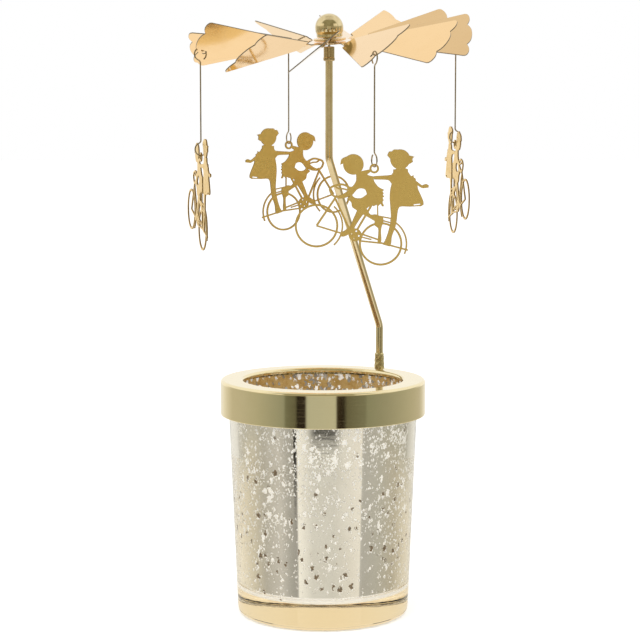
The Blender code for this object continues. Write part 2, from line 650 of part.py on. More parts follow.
def loop_points(centre_height, sign):
    """Middle line of an open eye in the local XZ plane, from its free inner end to the stem: above it for sign 1."""
    start = 90.0 + LOOP_END_DEG
    end = 90.0 + 360.0 - LOOP_JOIN_DEG
    points = []
    for step in range(LOOP_STEPS + 1):
        angle = math.radians(start + (end - start) * step / LOOP_STEPS)
        across, up = LOOP_RADIUS * math.cos(angle), LOOP_RADIUS * math.sin(angle)
        points.append(Vector((across, 0, centre_height + sign * up)))
    join = math.radians(LOOP_JOIN_DEG)
    corner_height = LOOP_RADIUS / math.cos(join)
    corner = Vector((0, 0, centre_height + sign * corner_height))
    stem = Vector((0, 0, centre_height + sign * (LOOP_RADIUS + LOOP_KINK)))
    joined = points[-1]
    for share in (0.33, 0.67, 1.0):
        points.append(joined * (1.0 - share) ** 2 + corner * (2.0 * share * (1.0 - share)) + stem * share ** 2)
    return points


def hanger_length(number):
    return HANGER_LENGTH * HANGER_LENGTH_SHARES[(number - 1) % len(HANGER_LENGTH_SHARES)]


def build_hanger(number, axis):
    top = loop_points(0, -1.0)
    bottom = loop_points(-hanger_length(number), 1.0)
    stem = []
    for step in range(1, HANGER_STEM_STEPS):
        stem.append(top[-1].lerp(bottom[-1], step / HANGER_STEM_STEPS))
    path = top + stem + bottom[::-1]
    name = "hanger_" + str(number)
    curve = tube_curve(name, path, WIRE_RADIUS, WIRE_SIDES_LEVEL)
    make_object(name, curve, axis, WIRE_COLOUR, 0.3, 1.0)


def scaled(shares):
    return [(share[0] * WHEELBASE, share[1] * WHEELBASE) for share in shares]


def circle_outline(centre, radius, steps):
    return arc(centre, radius, 0.0, 360.0, steps)[:-1]


def bar_outline(start, end, width):
    start, end = Vector(start), Vector(end)
    across = (end - start).orthogonal().normalized() * (width / 2.0)
    return [tuple(start - across), tuple(end - across), tuple(end + across), tuple(start + across)]


def band_outlines(centre, inner, outer, start_deg, end_deg, steps):
    """A ring or a part of one, as a run of four-sided pieces."""
    near = arc(centre, inner, start_deg, end_deg, steps)
    far = arc(centre, outer, start_deg, end_deg, steps)
    if end_deg - start_deg >= 360.0:
        near[-1], far[-1] = near[0], far[0]
    return [[near[i], far[i], far[i + 1], near[i + 1]] for i in range(steps)]


def path_outlines(points, width):
    outlines = [bar_outline(a, b, width) for a, b in zip(points, points[1:])]
    joints = [circle_outline(point, width / 2.0, CHAINRING_HOLE_STEPS) for point in points[1:-1]]
    return outlines + joints


def charm_outlines():
    """Every filled outline of the figure, and every outline that is cut from it."""
    rear, front = scaled((REAR_HUB_SHARE, FRONT_HUB_SHARE))
    chainring, eye, girl_head, rider_head = scaled((CHAINRING_SHARE, EYE_SHARE, GIRL_HEAD_SHARE, RIDER_HEAD_SHARE))
    filled = [scaled(GIRL_FRINGE_SHARES), scaled(GIRL_CURL_SHARES), scaled(GIRL_BODY_SHARES)]
    at_eye = [(eye[0] + across * EYE_RADIUS, eye[1] + up * EYE_RADIUS) for across, up in RIDER_LINK_EYE_SHARES]
    link = scaled(RIDER_LINK_SHARES)
    filled += [scaled(RIDER_FRINGE_SHARES), link[:2] + at_eye + link[2:], scaled(RIDER_BODY_SHARES)]
    filled.append(circle_outline(girl_head, GIRL_HEAD_RADIUS, HEAD_STEPS))
    filled.append(circle_outline(rider_head, RIDER_HEAD_RADIUS, HEAD_STEPS))
    filled.append(circle_outline(chainring, CHAINRING_RADIUS, HEAD_STEPS))
    for hub in (rear, front):
        filled += band_outlines(hub, WHEEL_RADIUS - WHEEL_RIM, WHEEL_RADIUS, 0.0, 360.0, WHEEL_STEPS)
    for hub, span in ((front, FRONT_GUARD_DEG), (rear, REAR_GUARD_DEG)):
        filled += band_outlines(hub, GUARD_RADIUS - GUARD_WIDTH, GUARD_RADIUS, span[0], span[1], GUARD_STEPS)
    filled += band_outlines(eye, EYE_HOLE_RADIUS, EYE_RADIUS, 0.0, 360.0, EYE_STEPS)
    filled += path_outlines(scaled(HANDLEBAR_SHARES), TUBE_WIDTH)
    filled += path_outlines(scaled(GRIP_SHARES), STAY_WIDTH)
    for table, width in ((FRAME_TUBE_SHARES, TUBE_WIDTH), (STAY_SHARES, STAY_WIDTH), (THIN_BAR_SHARES, THIN_WIDTH)):
        for ends in table:
            filled.append(bar_outline(*scaled(ends), width))
    removed = [scaled(ARM_GAP_SHARES), scaled(GIRL_HEM_SLOT_SHARES), circle_outline(eye, EYE_HOLE_RADIUS, EYE_STEPS)]
    for place in arc(chainring, CHAINRING_HOLE_CIRCLE, 0.0, 360.0, CHAINRING_HOLES)[:-1]:
        removed.append(circle_outline(place, CHAINRING_HOLE_RADIUS, CHAINRING_HOLE_STEPS))
    return filled, removed


def signed_area(outline):
    total = 0.0
    for (x1, y1), (x2, y2) in zip(outline, outline[1:] + outline[:1]):
        total += x1 * y2 - x2 * y1
    return total / 2.0


def joined_triangles(filled, removed):
    """Triangles that cover every filled outline once, less the removed ones."""
    points, faces = [], []
    for outline in filled + removed:
        ordered = outline if signed_area(outline) > 0 else outline[::-1]
        faces.append(list(range(len(points), len(points) + len(ordered))))
        points += [Vector(point) for point in ordered]
    verts, _, triangles, _, _, sources = delaunay_2d_cdt(points, [], faces, 1, MERGE)
    first_removed = len(filled)
    kept = [tuple(t) for t, s in zip(triangles, sources) if s and max(s) < first_removed]
    return verts, kept


def boundary_loops(triangles):
    onward = {}
    directed = set()
    for a, b, c in triangles:
        directed.update(((a, b), (b, c), (c, a)))
    for a, b in sorted(directed):
        if (b, a) not in directed:
            onward.setdefault(a, []).append(b)
    loops = []
    while onward:
        start = min(onward)
        loop, here = [], start
        while True:
            loop.append(here)
            following = onward[here].pop()
            if not onward[here]:
                del onward[here]
            here = following
            if here == start:
                break
        loops.append(loop)
    return loops


def thinned(loop):
    """Drop the points that lie on a straight run or crowd their neighbour."""
    kept = list(loop)
    changed = True
    while changed:
        changed = False
        for place in range(len(kept)):
            before, here, after = kept[place - 1], kept[place], kept[(place + 1) % len(kept)]
            run = after - before
            off_line = abs((here - before).cross(run)) / max(run.length, MERGE)
            if off_line < OUTLINE_WELD or (here - before).length < OUTLINE_WELD:
                del kept[place]
                changed = True
                break
    return kept


def inside_outlines(point, points, edges):
    """Even-odd rule: a ray towards +X crosses the outlines an odd number of times."""
    inside = False
    for first, second in edges:
        a, b = points[first], points[second]
        if (a.y > point.y) != (b.y > point.y):
            if a.x + (point.y - a.y) * (b.x - a.x) / (b.y - a.y) > point.x:
                inside = not inside
    return inside


def charm_sheet():
    """The figure as a flat triangle mesh, with its centre of area."""
    verts, triangles = joined_triangles(*charm_outlines())
    points, edges = [], []
    for loop in boundary_loops(triangles):
        outline = thinned([verts[i] for i in loop])
        if abs(signed_area([tuple(point) for point in outline])) < LEAST_WINDOW ** 2:
            continue
        first = len(points)
        points += outline
        edges += [(first + i, first + (i + 1) % len(outline)) for i in range(len(outline))]
    flat, _, faces, _, _, _ = delaunay_2d_cdt(points, edges, [], 0, MERGE)
    kept = []
    area, moment = 0.0, Vector((0, 0))
    for face in faces:
        corners = [flat[i] for i in face]
        middle = sum(corners, Vector((0, 0))) / len(corners)
        if inside_outlines(middle, points, edges):
            size = (corners[1] - corners[0]).cross(corners[2] - corners[0]) / 2.0
            kept.append(tuple(face))
            area += size
            moment += middle * size
    return flat, kept, moment / area


def charm_mesh():
    """Local frame: the pivot in the wire's middle is the origin, X is the sheet's normal and -Y is ahead."""
    flat, faces, middle = charm_sheet()
    eye = Vector(scaled((EYE_SHARE,))[0])
    hang = (middle - eye).normalized()
    pivot = eye - hang * EYE_PLAY
    upright = math.atan2(hang.x, -hang.y)
    turn = Matrix.Rotation(-upright, 2)
    shape = bmesh.new()
    placed = []
    for point in flat:
        ahead, up = turn @ (point - pivot)
        placed.append(shape.verts.new((0, -ahead, up)))
    for face in faces:
        shape.faces.new([placed[i] for i in face])
    loose = [vert for vert in shape.verts if not vert.link_faces]
    bmesh.ops.delete(shape, geom=loose, context="VERTS")
    mesh = bpy.data.meshes.new("charm")
    shape.to_mesh(mesh)
    shape.free()
    return mesh, math.degrees(-upright)


def build_charm(number, axis, sheet):
    name = "charm_" + str(number)
    charm = make_object(name, sheet.copy(), axis, GOLD_SHEET_COLOUR, 0.3, 1.0)
    thickness = charm.modifiers.new("sheet", "SOLIDIFY")
    thickness.thickness = CHARM_SHEET
    thickness.offset = 0.0


def build_hangers_and_charms(spin, tilted):
    sheet, hang_angle = charm_mesh()
    print("charm hangs nose up by", round(hang_angle, 2), "degrees")
    for number, index in enumerate(hanger_blades(), start=1):
        centre, heading, _ = hang_places(tilted, index)
        place = Matrix.Translation(centre) @ Matrix.Rotation(heading, 4, "Z")
        hanger_axis = make_empty("hanger_axis_" + str(number), spin, place)
        build_hanger(number, hanger_axis)
        turn = math.radians(CHARM_TURNS_DEG[(number - 1) % len(CHARM_TURNS_DEG)])
        low = Matrix.Translation((0, 0, -hanger_length(number) - LOOP_RADIUS)) @ Matrix.Rotation(turn, 4, "Z")
        charm_axis = make_empty("charm_axis_" + str(number), hanger_axis, low)
        build_charm(number, charm_axis, sheet)
    bpy.data.meshes.remove(sheet)


def main():
    clear_scene()
    build_cup()
    lift = make_empty("collar_lift_axis", None, Matrix.Translation((0, 0, COLLAR_TOP)))
    build_collar(lift)
    build_mast(lift)
    build_needle_and_ferrule(lift)
    spin_place = Matrix.Translation((AXIS_OFFSET, 0, PIVOT_HEIGHT - COLLAR_TOP))
    spin = make_empty("fan_spin_axis", lift, spin_place)
    low = math.radians(FAN_LOW_AZIMUTH_DEG)
    tilt_axis = Vector((-math.sin(low), math.cos(low), 0))
    tilted = make_empty("fan_tilted_axis", spin, Matrix.Rotation(math.radians(FAN_TILT_DEG), 4, tilt_axis))
    build_hub(spin, tilted)
    build_fan(tilted)
    build_hangers_and_charms(spin, tilted)
    bpy.context.view_layer.update()


main()
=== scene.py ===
"""Looks of the candle carousel: its glass cup, mirror lining, brass, bladed fan, wire hangers and charms.

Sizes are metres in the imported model's frame, with +Z up. Each operator below makes one piece or one
group of like pieces.
"""

import json
import math

import bmesh
import bpy
from bpy.props import FloatProperty, FloatVectorProperty, IntProperty, PointerProperty
from bpy.types import Operator, Panel, PropertyGroup
from mathutils import Matrix, Vector
from mathutils.geometry import delaunay_2d_cdt

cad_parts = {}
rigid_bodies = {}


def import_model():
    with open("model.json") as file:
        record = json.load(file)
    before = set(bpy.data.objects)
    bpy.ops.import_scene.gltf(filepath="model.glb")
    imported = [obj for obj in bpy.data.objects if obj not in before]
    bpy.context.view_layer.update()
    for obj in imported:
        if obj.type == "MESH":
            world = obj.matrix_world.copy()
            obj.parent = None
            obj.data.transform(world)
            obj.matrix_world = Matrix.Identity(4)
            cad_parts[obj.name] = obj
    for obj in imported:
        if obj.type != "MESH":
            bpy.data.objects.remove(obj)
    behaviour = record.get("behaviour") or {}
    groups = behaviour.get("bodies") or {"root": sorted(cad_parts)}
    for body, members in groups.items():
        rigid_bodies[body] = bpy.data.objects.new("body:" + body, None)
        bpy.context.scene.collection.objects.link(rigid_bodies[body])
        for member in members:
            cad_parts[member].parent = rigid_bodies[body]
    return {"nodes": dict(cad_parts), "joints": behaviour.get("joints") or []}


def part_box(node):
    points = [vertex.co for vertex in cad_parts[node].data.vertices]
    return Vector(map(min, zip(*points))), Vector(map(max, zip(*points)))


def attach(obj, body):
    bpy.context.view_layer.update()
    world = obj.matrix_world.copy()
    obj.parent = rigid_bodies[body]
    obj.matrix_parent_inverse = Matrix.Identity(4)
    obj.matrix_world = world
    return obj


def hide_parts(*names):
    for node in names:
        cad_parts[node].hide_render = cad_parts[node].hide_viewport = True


for leftover in list(bpy.data.objects):
    bpy.data.objects.remove(leftover, do_unlink=True)
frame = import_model()

bl_info = {
    "name": "Candle carousel looks",
    "version": (1, 0, 0),
    "blender": (4, 5, 0),
    "location": "3D View > Sidebar > Carousel",
    "description": "Glass, mirror lining, brass, fan, hangers and charms of a candle carousel",
    "category": "Object",
}

JOINTS = {joint["name"]: joint for joint in frame["joints"]}
SUPPORT_GAP = 0.00006
MERGE = 0.0000005
WHITE = (1.0, 1.0, 1.0, 1.0)
BLACK = (0.0, 0.0, 0.0, 1.0)
CORNER_DEG = 58.0
TANGENT_LIMIT = 1.2

# Glass cup
CUP_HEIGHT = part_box("glass_cup")[1].z
CUP_RIM_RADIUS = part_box("glass_cup")[1].x
CUP_FOOT_RADIUS = 0.03135
CUP_FOOT_ROUND = 0.0025
CUP_RIM_ROUND = 0.0011
CUP_HEEL_ROUND = 0.0030
CUP_STEPS = 160
FOOT_HOLLOW = 0.00035
FOOT_HOLLOW_EDGE = 0.0003
FOOT_HOLLOW_SHARE = 0.82
FOOT_RING_SHARE = 0.9
LINING_BITE = 0.00003
LINING_TOP_DROP = 0.0016
PAINTED_HEEL_LIGHT_BAND = (0.0108, 0.0123)
FLECK_MARGIN = 0.012

# Collar
COLLAR_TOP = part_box("collar_ring")[1].z
COLLAR_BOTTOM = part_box("collar_ring")[0].z
COLLAR_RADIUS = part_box("collar_ring")[1].x
COLLAR_OPENING_RADIUS = 0.02915
COLLAR_SHEET = 0.0008
COLLAR_LIP = 0.0018
COLLAR_ROUND = 0.0011
COLLAR_HEM = 0.00022
COLLAR_STEPS = 192
DRILL_PLAY = 0.00008

# Mast
MAST_RADIUS = 0.00136
MAST_FOOT = sum(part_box("mast_foot_sleeve"), Vector()) / 2.0
MAST_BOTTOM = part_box("mast")[0].z
MAST_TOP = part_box("mast")[1].z
MAST_LOWER_RISE = 0.0170
MAST_SLANT_RISE = 0.0633
MAST_BEND_RADIUS = 0.0055
MAST_BEND_STEPS = 14
SLEEVE_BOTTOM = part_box("mast_foot_sleeve")[0].z
SLEEVE_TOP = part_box("mast_foot_sleeve")[1].z
SLEEVE_FOOT_RADIUS = 0.00178
SLEEVE_NECK_RADIUS = 0.00156
SLEEVE_STEPS = 12
SLEEVE_RIPPLE = 0.00005
SLEEVE_CHAMFER = 0.00012
SLEEVE_CHAMFER_HEIGHT = 0.0002
RIDGE_COUNT = 7
RIDGE_RADIUS = 0.00016
RIDGE_SWEEP = 2.4
RIDGE_FOOT_GAP = 0.0003
RIDGE_TOP_GAP = 0.0004
FERRULE_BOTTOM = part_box("mast_ferrule")[0].z
FERRULE_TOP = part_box("mast_ferrule")[1].z
FERRULE_RADIUS = 0.0021
FERRULE_BORE_PLAY = 0.00005
FERRULE_FOOT_ROUND = 0.00055
FERRULE_STEP_HEIGHTS = (0.00115, 0.0013)
FERRULE_STEP_DEPTH = 0.00012
FERRULE_TOP_ROUND = 0.0003
FERRULE_CEILING = 0.0006
NEEDLE_CLEARANCE_RADIUS = 0.0008

# Fan
SPIN_PLACE = Vector(JOINTS["fan_spin"]["pos_m"])
FAN_DROP = 0.0060
FAN_DISC_RADIUS = 0.0120
HUB_HOLE_RADIUS = 0.00245
BLADE_COUNT = 12
BLADE_ROOT = 0.0160
BLADE_CORNER = 0.0483
BLADE_TIP_REACH = 0.00288
BLADE_SLOT = 0.00167
NECK_HALF_WIDTH = 0.0012
NECK_OVERLAP = 0.0012
NECK_STEPS = 14
NECK_FILLET = 0.0004
DISC_PROUD = 0.00002
TWIST_START = 0.01248
TWIST_END = 0.01560
BLADE_FIRST_AZIMUTH_DEG = -6.8
BLADE_TURNS_DEG = (-0.1, -0.5, 0.8, 0.0, 0.5, 0.0, 0.0, 0.9, 0.5, -0.1, -0.8, -1.1)
BLADE_TWISTS_DEG = (36.7, 38.2, 36.5, 36.3, 36.6, 36.3, 35.4, 39.5, 33.6, 36.1, 35.1, 35.1)
BLADE_RISES_DEG = (0.7, 1.9, 1.9, 0.9, 0.2, 0.9, -0.7, 5.2, 0.2, 0.2, 1.1, 0.1)
TIP_LOBE_SHARES = (
    (-1.0, 0.0), (-0.985, 0.28), (-0.92, 0.5), (-0.82, 0.63), (-0.7, 0.66), (-0.58, 0.56), (-0.47, 0.38),
)
TIP_CROWN_SHARES = ((-0.47, 0.38), (-0.38, 0.66), (-0.26, 0.87), (-0.13, 0.97), (0.0, 1.0))
HANGER_BLADES = (1, 4, 7, 10)
HANG_HOLE_PLACE = (0.0471, -0.0053)
HANG_HOLE_RADIUS = 0.00085

# Washer and ball cap
WASHER_GAP = 0.0003
WASHER_THICKNESS = 0.0010
WASHER_RADIUS = 0.0058
WASHER_ROUND = 0.00035
BALL_RADIUS = 0.0051
BALL_MOUTH_RADIUS = 0.0047
BALL_MOUTH_ROUND = 0.0004
BALL_SKIRT = 0.0033
BALL_BORE_TOP = 0.0011
HUB_STEPS = 96

# Hangers
LOOP_RADIUS = 0.0022
LOOP_KINK = 0.00095
LOOP_KINK_STEPS = 6
LOOP_STEPS = 30
STEM_STEPS = 12
LOOP_JOIN_DEG = 25.0
LOOP_END_DEG = 35.0
HANGER_LETTERS = "abcd"

# Charms, with all places as shares of the wheelbase
CHARM_HANG_DEG = 15.95
WHEELBASE = 0.0227
WHEEL_RADIUS = 0.0074
WHEEL_RIM = 0.0007
GUARD_RADIUS = 0.0091
GUARD_WIDTH = 0.00055
FRONT_GUARD_DEG = (116.0, 212.0)
REAR_GUARD_DEG = (96.0, 187.0)
TUBE_WIDTH = 0.0007
STAY_WIDTH = 0.00055
THIN_WIDTH = 0.00045
EYE_RADIUS = 0.00165
EYE_HOLE_RADIUS = 0.00095
EYE_PLAY = 0.00055
CHAINRING_RADIUS = 0.0022
CHAINRING_HOLE_RADIUS = 0.0003
CHAINRING_HOLE_CIRCLE = 0.0013
CHAINRING_HOLES = 4
GIRL_HEAD_RADIUS = 0.0034
RIDER_HEAD_RADIUS = 0.0035
OUTLINE_WELD = 0.00002
LEAST_WINDOW = 0.0003
REAR_HUB_SHARE = (0.0, 0.0)
FRONT_HUB_SHARE = (1.0, 0.0)
CHAINRING_SHARE = (0.405, 0.026)
EYE_SHARE = (0.405, 1.057)
GIRL_HEAD_SHARE = (0.07, 1.295)
RIDER_HEAD_SHARE = (0.722, 1.031)
GIRL_FRINGE_SHARES = (
    (0.13, 1.43), (0.2, 1.41), (0.226, 1.375), (0.262, 1.36), (0.274, 1.3), (0.2, 1.25), (0.1, 1.3),
)
GIRL_CURL_SHARES = (
    (-0.03, 1.38), (-0.12, 1.392), (-0.104, 1.352), (-0.124, 1.31), (-0.075, 1.265), (0.04, 1.23), (0.05, 1.3),
)
GIRL_BODY_SHARES = (
    (0.0, 1.24), (-0.01, 1.195), (-0.085, 1.185), (-0.095, 1.15), (-0.158, 1.1), (-0.19, 1.125), (-0.2, 1.095),
    (-0.236, 1.08), (-0.24, 1.056), (-0.352, 1.013), (-0.38, 1.035), (-0.41, 1.05), (-0.45, 1.04), (-0.455, 1.006),
    (-0.415, 0.99), (-0.366, 0.973), (-0.288, 0.992), (-0.31, 0.945), (-0.395, 0.845), (-0.44, 0.785),
    (-0.455, 0.742), (-0.425, 0.708), (-0.395, 0.7), (-0.26, 0.655), (-0.13, 0.618), (-0.11, 0.555),
    (-0.135, 0.4), (-0.142, 0.3), (-0.132, 0.16), (-0.15, 0.05), (-0.14, 0.0), (-0.03, 0.0), (-0.05, 0.08),
    (-0.058, 0.21), (-0.045, 0.39), (0.005, 0.545), (0.06, 0.695), (0.088, 0.82), (0.092, 0.91), (0.16, 0.948),
    (0.36, 0.9), (0.375, 0.95), (0.14, 1.035), (0.12, 1.08), (0.13, 1.12), (0.09, 1.14), (0.1, 1.2),
)
GIRL_HEM_SLOT_SHARES = ((-0.31, 0.705), (-0.4, 0.742), (-0.412, 0.732), (-0.395, 0.722), (-0.318, 0.69))
RIDER_FRINGE_SHARES = (
    (0.79, 1.16), (0.875, 1.1), (0.915, 1.052), (0.91, 0.972), (0.868, 1.005), (0.82, 0.97), (0.76, 1.03),
)
RIDER_LINK_SHARES = (
    (0.62, 0.945), (0.53, 0.995), (0.462, 1.03), (0.44, 1.0), (0.475, 0.955), (0.52, 0.925), (0.57, 0.9),
)
RIDER_BODY_SHARES = (
    (0.67, 0.93), (0.61, 0.945), (0.52, 0.955), (0.45, 0.938), (0.365, 0.945), (0.36, 0.885), (0.272, 0.815),
    (0.175, 0.793), (0.19, 0.762), (0.166, 0.742), (0.173, 0.714), (0.144, 0.7), (0.164, 0.672), (0.14, 0.642),
    (0.146, 0.612), (0.106, 0.556), (0.136, 0.545), (0.168, 0.578), (0.19, 0.538), (0.22, 0.546), (0.258, 0.512),
    (0.292, 0.524), (0.35, 0.454), (0.27, 0.385), (0.2, 0.405), (0.135, 0.402), (0.075, 0.395), (0.052, 0.33),
    (0.056, 0.26), (0.048, 0.185), (0.008, 0.07), (0.0, 0.0), (0.05, 0.0), (0.068, 0.09), (0.1, 0.21),
    (0.165, 0.243), (0.182, 0.305), (0.28, 0.33), (0.375, 0.352), (0.402, 0.28), (0.44, 0.15), (0.45, 0.075),
    (0.545, -0.035), (0.625, -0.06), (0.61, 0.005), (0.52, 0.125), (0.498, 0.26), (0.48, 0.385), (0.562, 0.414),
    (0.6, 0.48), (0.675, 0.51), (0.662, 0.532), (0.63, 0.57), (0.72, 0.508), (0.81, 0.475), (0.83, 0.505),
    (0.745, 0.57), (0.695, 0.635), (0.725, 0.68), (0.72, 0.705), (0.675, 0.7), (0.645, 0.715), (0.618, 0.8),
    (0.64, 0.89),
)
ARM_GAP_SHARES = (
    (0.612, 0.585), (0.565, 0.685), (0.515, 0.718), (0.45, 0.718), (0.405, 0.66), (0.47, 0.583), (0.56, 0.56),
)
HANDLEBAR_SHARES = ((0.7, 0.692), (0.81, 0.697), (0.935, 0.627), (0.958, 0.572), (0.91, 0.515), (0.83, 0.485))
GRIP_SHARES = ((0.7, 0.64), (0.77, 0.64), (0.84, 0.625), (0.9, 0.645))
FRAME_TUBE_SHARES = (
    ((0.83, 0.52), (1.0, 0.0)),
    ((0.835, 0.46), (0.52, 0.09)),
    ((0.29, 0.53), (0.4, 0.1)),
)
STAY_SHARES = (
    ((1.0, 0.0), (0.59, -0.008)),
    ((0.33, -0.045), (-0.02, 0.016)),
    ((0.05, 0.016), (-0.42, 0.022)),
    ((0.32, 0.065), (0.01, 0.05)),
)
THIN_BAR_SHARES = (
    ((0.21, 0.56), (0.155, 0.38)),
    ((0.15, 0.392), (-0.07, 0.412)),
    ((0.08, 0.345), (-0.09, 0.347)),
    ((0.32, 0.02), (0.15, 0.025)),
)

# Stage
FLOOR_REACH = 6.0
LIGHT_TARGET = (0.0, 0.0, 0.1)
LIGHT_SIZE = 1.0

# Studio seen in the gloss: azimuths in degrees from the camera's side, each with its colour
UPPER_BANDS = (
    (-180.0, (0.93, 0.92, 0.87)), (-150.0, (0.86, 0.84, 0.77)), (-122.0, (0.56, 0.54, 0.46)),
    (-100.0, (0.52, 0.51, 0.44)), (-80.0, (0.46, 0.46, 0.38)), (-44.0, (0.30, 0.32, 0.26)),
    (-42.0, (0.17, 0.18, 0.13)), (-30.5, (0.12, 0.12, 0.08)), (-28.5, (0.015, 0.012, 0.008)),
    (-19.0, (0.02, 0.012, 0.008)), (-18.0, (0.48, 0.50, 0.45)), (14.0, (0.52, 0.53, 0.47)),
    (15.5, (0.03, 0.02, 0.01)), (23.0, (0.02, 0.015, 0.01)), (27.0, (0.13, 0.13, 0.09)),
    (48.0, (0.19, 0.20, 0.15)), (50.0, (0.25, 0.27, 0.21)), (75.0, (0.32, 0.33, 0.27)),
    (106.0, (0.43, 0.43, 0.36)), (138.0, (0.54, 0.52, 0.44)), (160.0, (0.86, 0.84, 0.77)),
    (180.0, (0.93, 0.92, 0.87)),
)
LOWER_BANDS = (
    (-180.0, (0.97, 0.93, 0.83)), (-140.0, (0.92, 0.86, 0.72)), (-110.0, (0.68, 0.63, 0.50)),
    (-85.0, (0.50, 0.48, 0.42)), (-60.0, (0.62, 0.60, 0.55)), (-45.0, (0.43, 0.42, 0.38)),
    (-35.2, (0.37, 0.36, 0.33)), (-34.0, (0.98, 0.96, 0.88)), (-14.0, (0.72, 0.71, 0.65)),
    (14.0, (0.70, 0.69, 0.63)), (50.0, (0.88, 0.85, 0.77)), (52.0, (0.93, 0.90, 0.81)),
    (53.5, (0.48, 0.47, 0.43)), (80.0, (0.50, 0.49, 0.43)), (110.0, (0.52, 0.48, 0.38)),
    (140.0, (0.80, 0.75, 0.62)), (180.0, (0.97, 0.93, 0.83)),
)


def linear(red, green, blue):
    """A screen colour from 0 to 255 as the linear values that sockets take."""
    values = []
    for value in (red, green, blue):
        share = value / 255.0
        values.append(share / 12.92 if share <= 0.04045 else ((share + 0.055) / 1.055) ** 2.4)
    return tuple(values)


def length_property(name, description, default):
    return FloatProperty(name=name, description=description, default=default, min=0.0, unit="LENGTH", precision=5)


def colour_property(name, description, default):
    options = {"default": default, "min": 0.0, "max": 1.0, "size": 3, "subtype": "COLOR"}
    return FloatVectorProperty(name=name, description=description, **options)


def share_property(name, description, default):
    return FloatProperty(name=name, description=description, default=default, min=0.0, max=1.0, subtype="FACTOR")


def angle_property(name, description, default_deg):
    return FloatProperty(name=name, description=description, default=math.radians(default_deg), subtype="ANGLE")


class GlassSettings(PropertyGroup):
    wall: length_property("Wall", "Thickness of the cup's wall", 0.0029)
    floor: length_property("Base", "Thickness of the clear base", 0.0095)
    tint: colour_property("Tint", "Colour that long paths through the glass take on", (0.886, 0.655, 0.135))
    tint_density: FloatProperty(name="Tint density", description="Absorption per metre", default=17.0, min=0.0)


class LiningSettings(PropertyGroup):
    thickness: length_property("Thickness", "Thickness of the mirror coating", 0.00015)
    silver: colour_property("Silver side", "Coating as seen through the glass", (0.93, 0.905, 0.85))
    gold: colour_property("Gold side", "Coating as seen inside the cup", linear(244, 218, 160))
    pale_fleck: colour_property("Pale flecks", "Bare spots that catch the light", (0.98, 0.96, 0.90))
    brown_fleck: colour_property("Brown flecks", "Bare spots that show the inside", linear(132, 110, 78))
    fleck_size: length_property("Fleck spacing", "Distance between neighbouring flecks", 0.0020)
    # Painted glow: emission on the pale flecks and the pale heel stands in for light coming through the bare spots;
    # the coating is no lamp.
    glow: share_property("Glow", "Light that comes through the bare spots", 0.25)


class BrassSettings(PropertyGroup):
    collar: colour_property("Collar", "Spun collar", (0.93, 0.80, 0.50))
    rod: colour_property("Rod", "Mast", (0.82, 0.67, 0.40))
    ferrule: colour_property("Ferrule", "Ferrule at the mast's top", (0.56, 0.42, 0.21))
    sleeve: colour_property("Sleeve", "Crimped sleeve at the mast's foot", (0.78, 0.66, 0.36))
    cap: colour_property("Cap", "Ball cap on the fan", (0.80, 0.66, 0.38))
    roughness: share_property("Roughness", "Roughness of the polished brass", 0.07)


class FanSettings(PropertyGroup):
    sheet: length_property("Sheet", "Thickness of the blades", 0.0004)
    rounding: length_property("Edge rounding", "Rounding of the blades' edges", 0.00006)
    tilt: angle_property("Tilt", "Lean of the fan", 6.35)
    low_azimuth: angle_property("Low side", "Azimuth of the low side", 241.7)
    gold: colour_property("Gold", "Mirror-bright sheet", linear(252, 216, 164))
    shade: colour_property("Stain", "Faint cloudy stain", linear(236, 192, 130))
    # The cut edge's grey-brown is partly the raw edge and partly painted shade that stands in for the dark the edges
    # reflect.
    cut: colour_property("Cut edge", "Raw edge of the stamped sheet", linear(150, 138, 118))


class HangerSettings(PropertyGroup):
    wire_radius: length_property("Wire radius", "Radius of the hangers' wire", 0.00025)
    sides: IntProperty(name="Sides", description="Sides of the wire", default=12, min=3)
    colour: colour_property("Wire", "Drawn wire", linear(176, 160, 128))


class CharmSettings(PropertyGroup):
    sheet: length_property("Sheet", "Thickness of the charms", 0.0005)
    rounding: length_property("Edge rounding", "Rounding of the charms' edges", 0.00005)
    gold: colour_property("Gold", "Satin sheet", linear(247, 210, 126))
    shade: colour_property("Shade", "Darker patches of the sheet", linear(236, 194, 108))
    cut: colour_property("Cut edge", "Etched edge of the sheet", linear(170, 140, 86))


class StageSettings(PropertyGroup):
    floor: colour_property("Floor", "Colour of the studio floor", (0.93, 0.93, 0.93))
    key: FloatProperty(name="Key light", description="Power of the soft key light in watts", default=4.0, min=0.0)
    lens: FloatProperty(name="Lens", description="Focal length on a 36 mm frame", default=108.3, unit="CAMERA")
    pitch: angle_property("Pitch", "How far the camera looks down", 6.30)
    place: FloatVectorProperty(
        name="Camera", description="Place of the camera", default=(-0.00107, -0.7, 0.1858), unit="LENGTH")


class CarouselSettings(PropertyGroup):
    glass: PointerProperty(type=GlassSettings)
    lining: PointerProperty(type=LiningSettings)
    brass: PointerProperty(type=BrassSettings)
    fan: PointerProperty(type=FanSettings)
    hanger: PointerProperty(type=HangerSettings)
    charm: PointerProperty(type=CharmSettings)
    stage: PointerProperty(type=StageSettings)


# Node helpers


def set_inputs(tree, node, inputs):
    """Give each (socket, value) of the inputs its value, or a link where the value is another node's output."""
    for socket, value in inputs:
        if isinstance(value, bpy.types.NodeSocket):
            tree.links.new(value, node.inputs[socket])
        else:
            node.inputs[socket].default_value = value


def add_node(tree, kind, inputs=(), **options):
    node = tree.nodes.new(kind)
    for name, value in options.items():
        setattr(node, name, value)
    set_inputs(tree, node, inputs)
    return node


def maths(tree, operation, *values):
    return add_node(tree, "ShaderNodeMath", enumerate(values), operation=operation).outputs[0]


def product(tree, first, *others):
    for other in others:
        first = maths(tree, "MULTIPLY", first, other)
    return first


def greatest(tree, first, *others):
    for other in others:
        first = maths(tree, "MAXIMUM", first, other)
    return first


def sloped(tree, value, slope, offset):
    return maths(tree, "MULTIPLY_ADD", value, slope, offset)


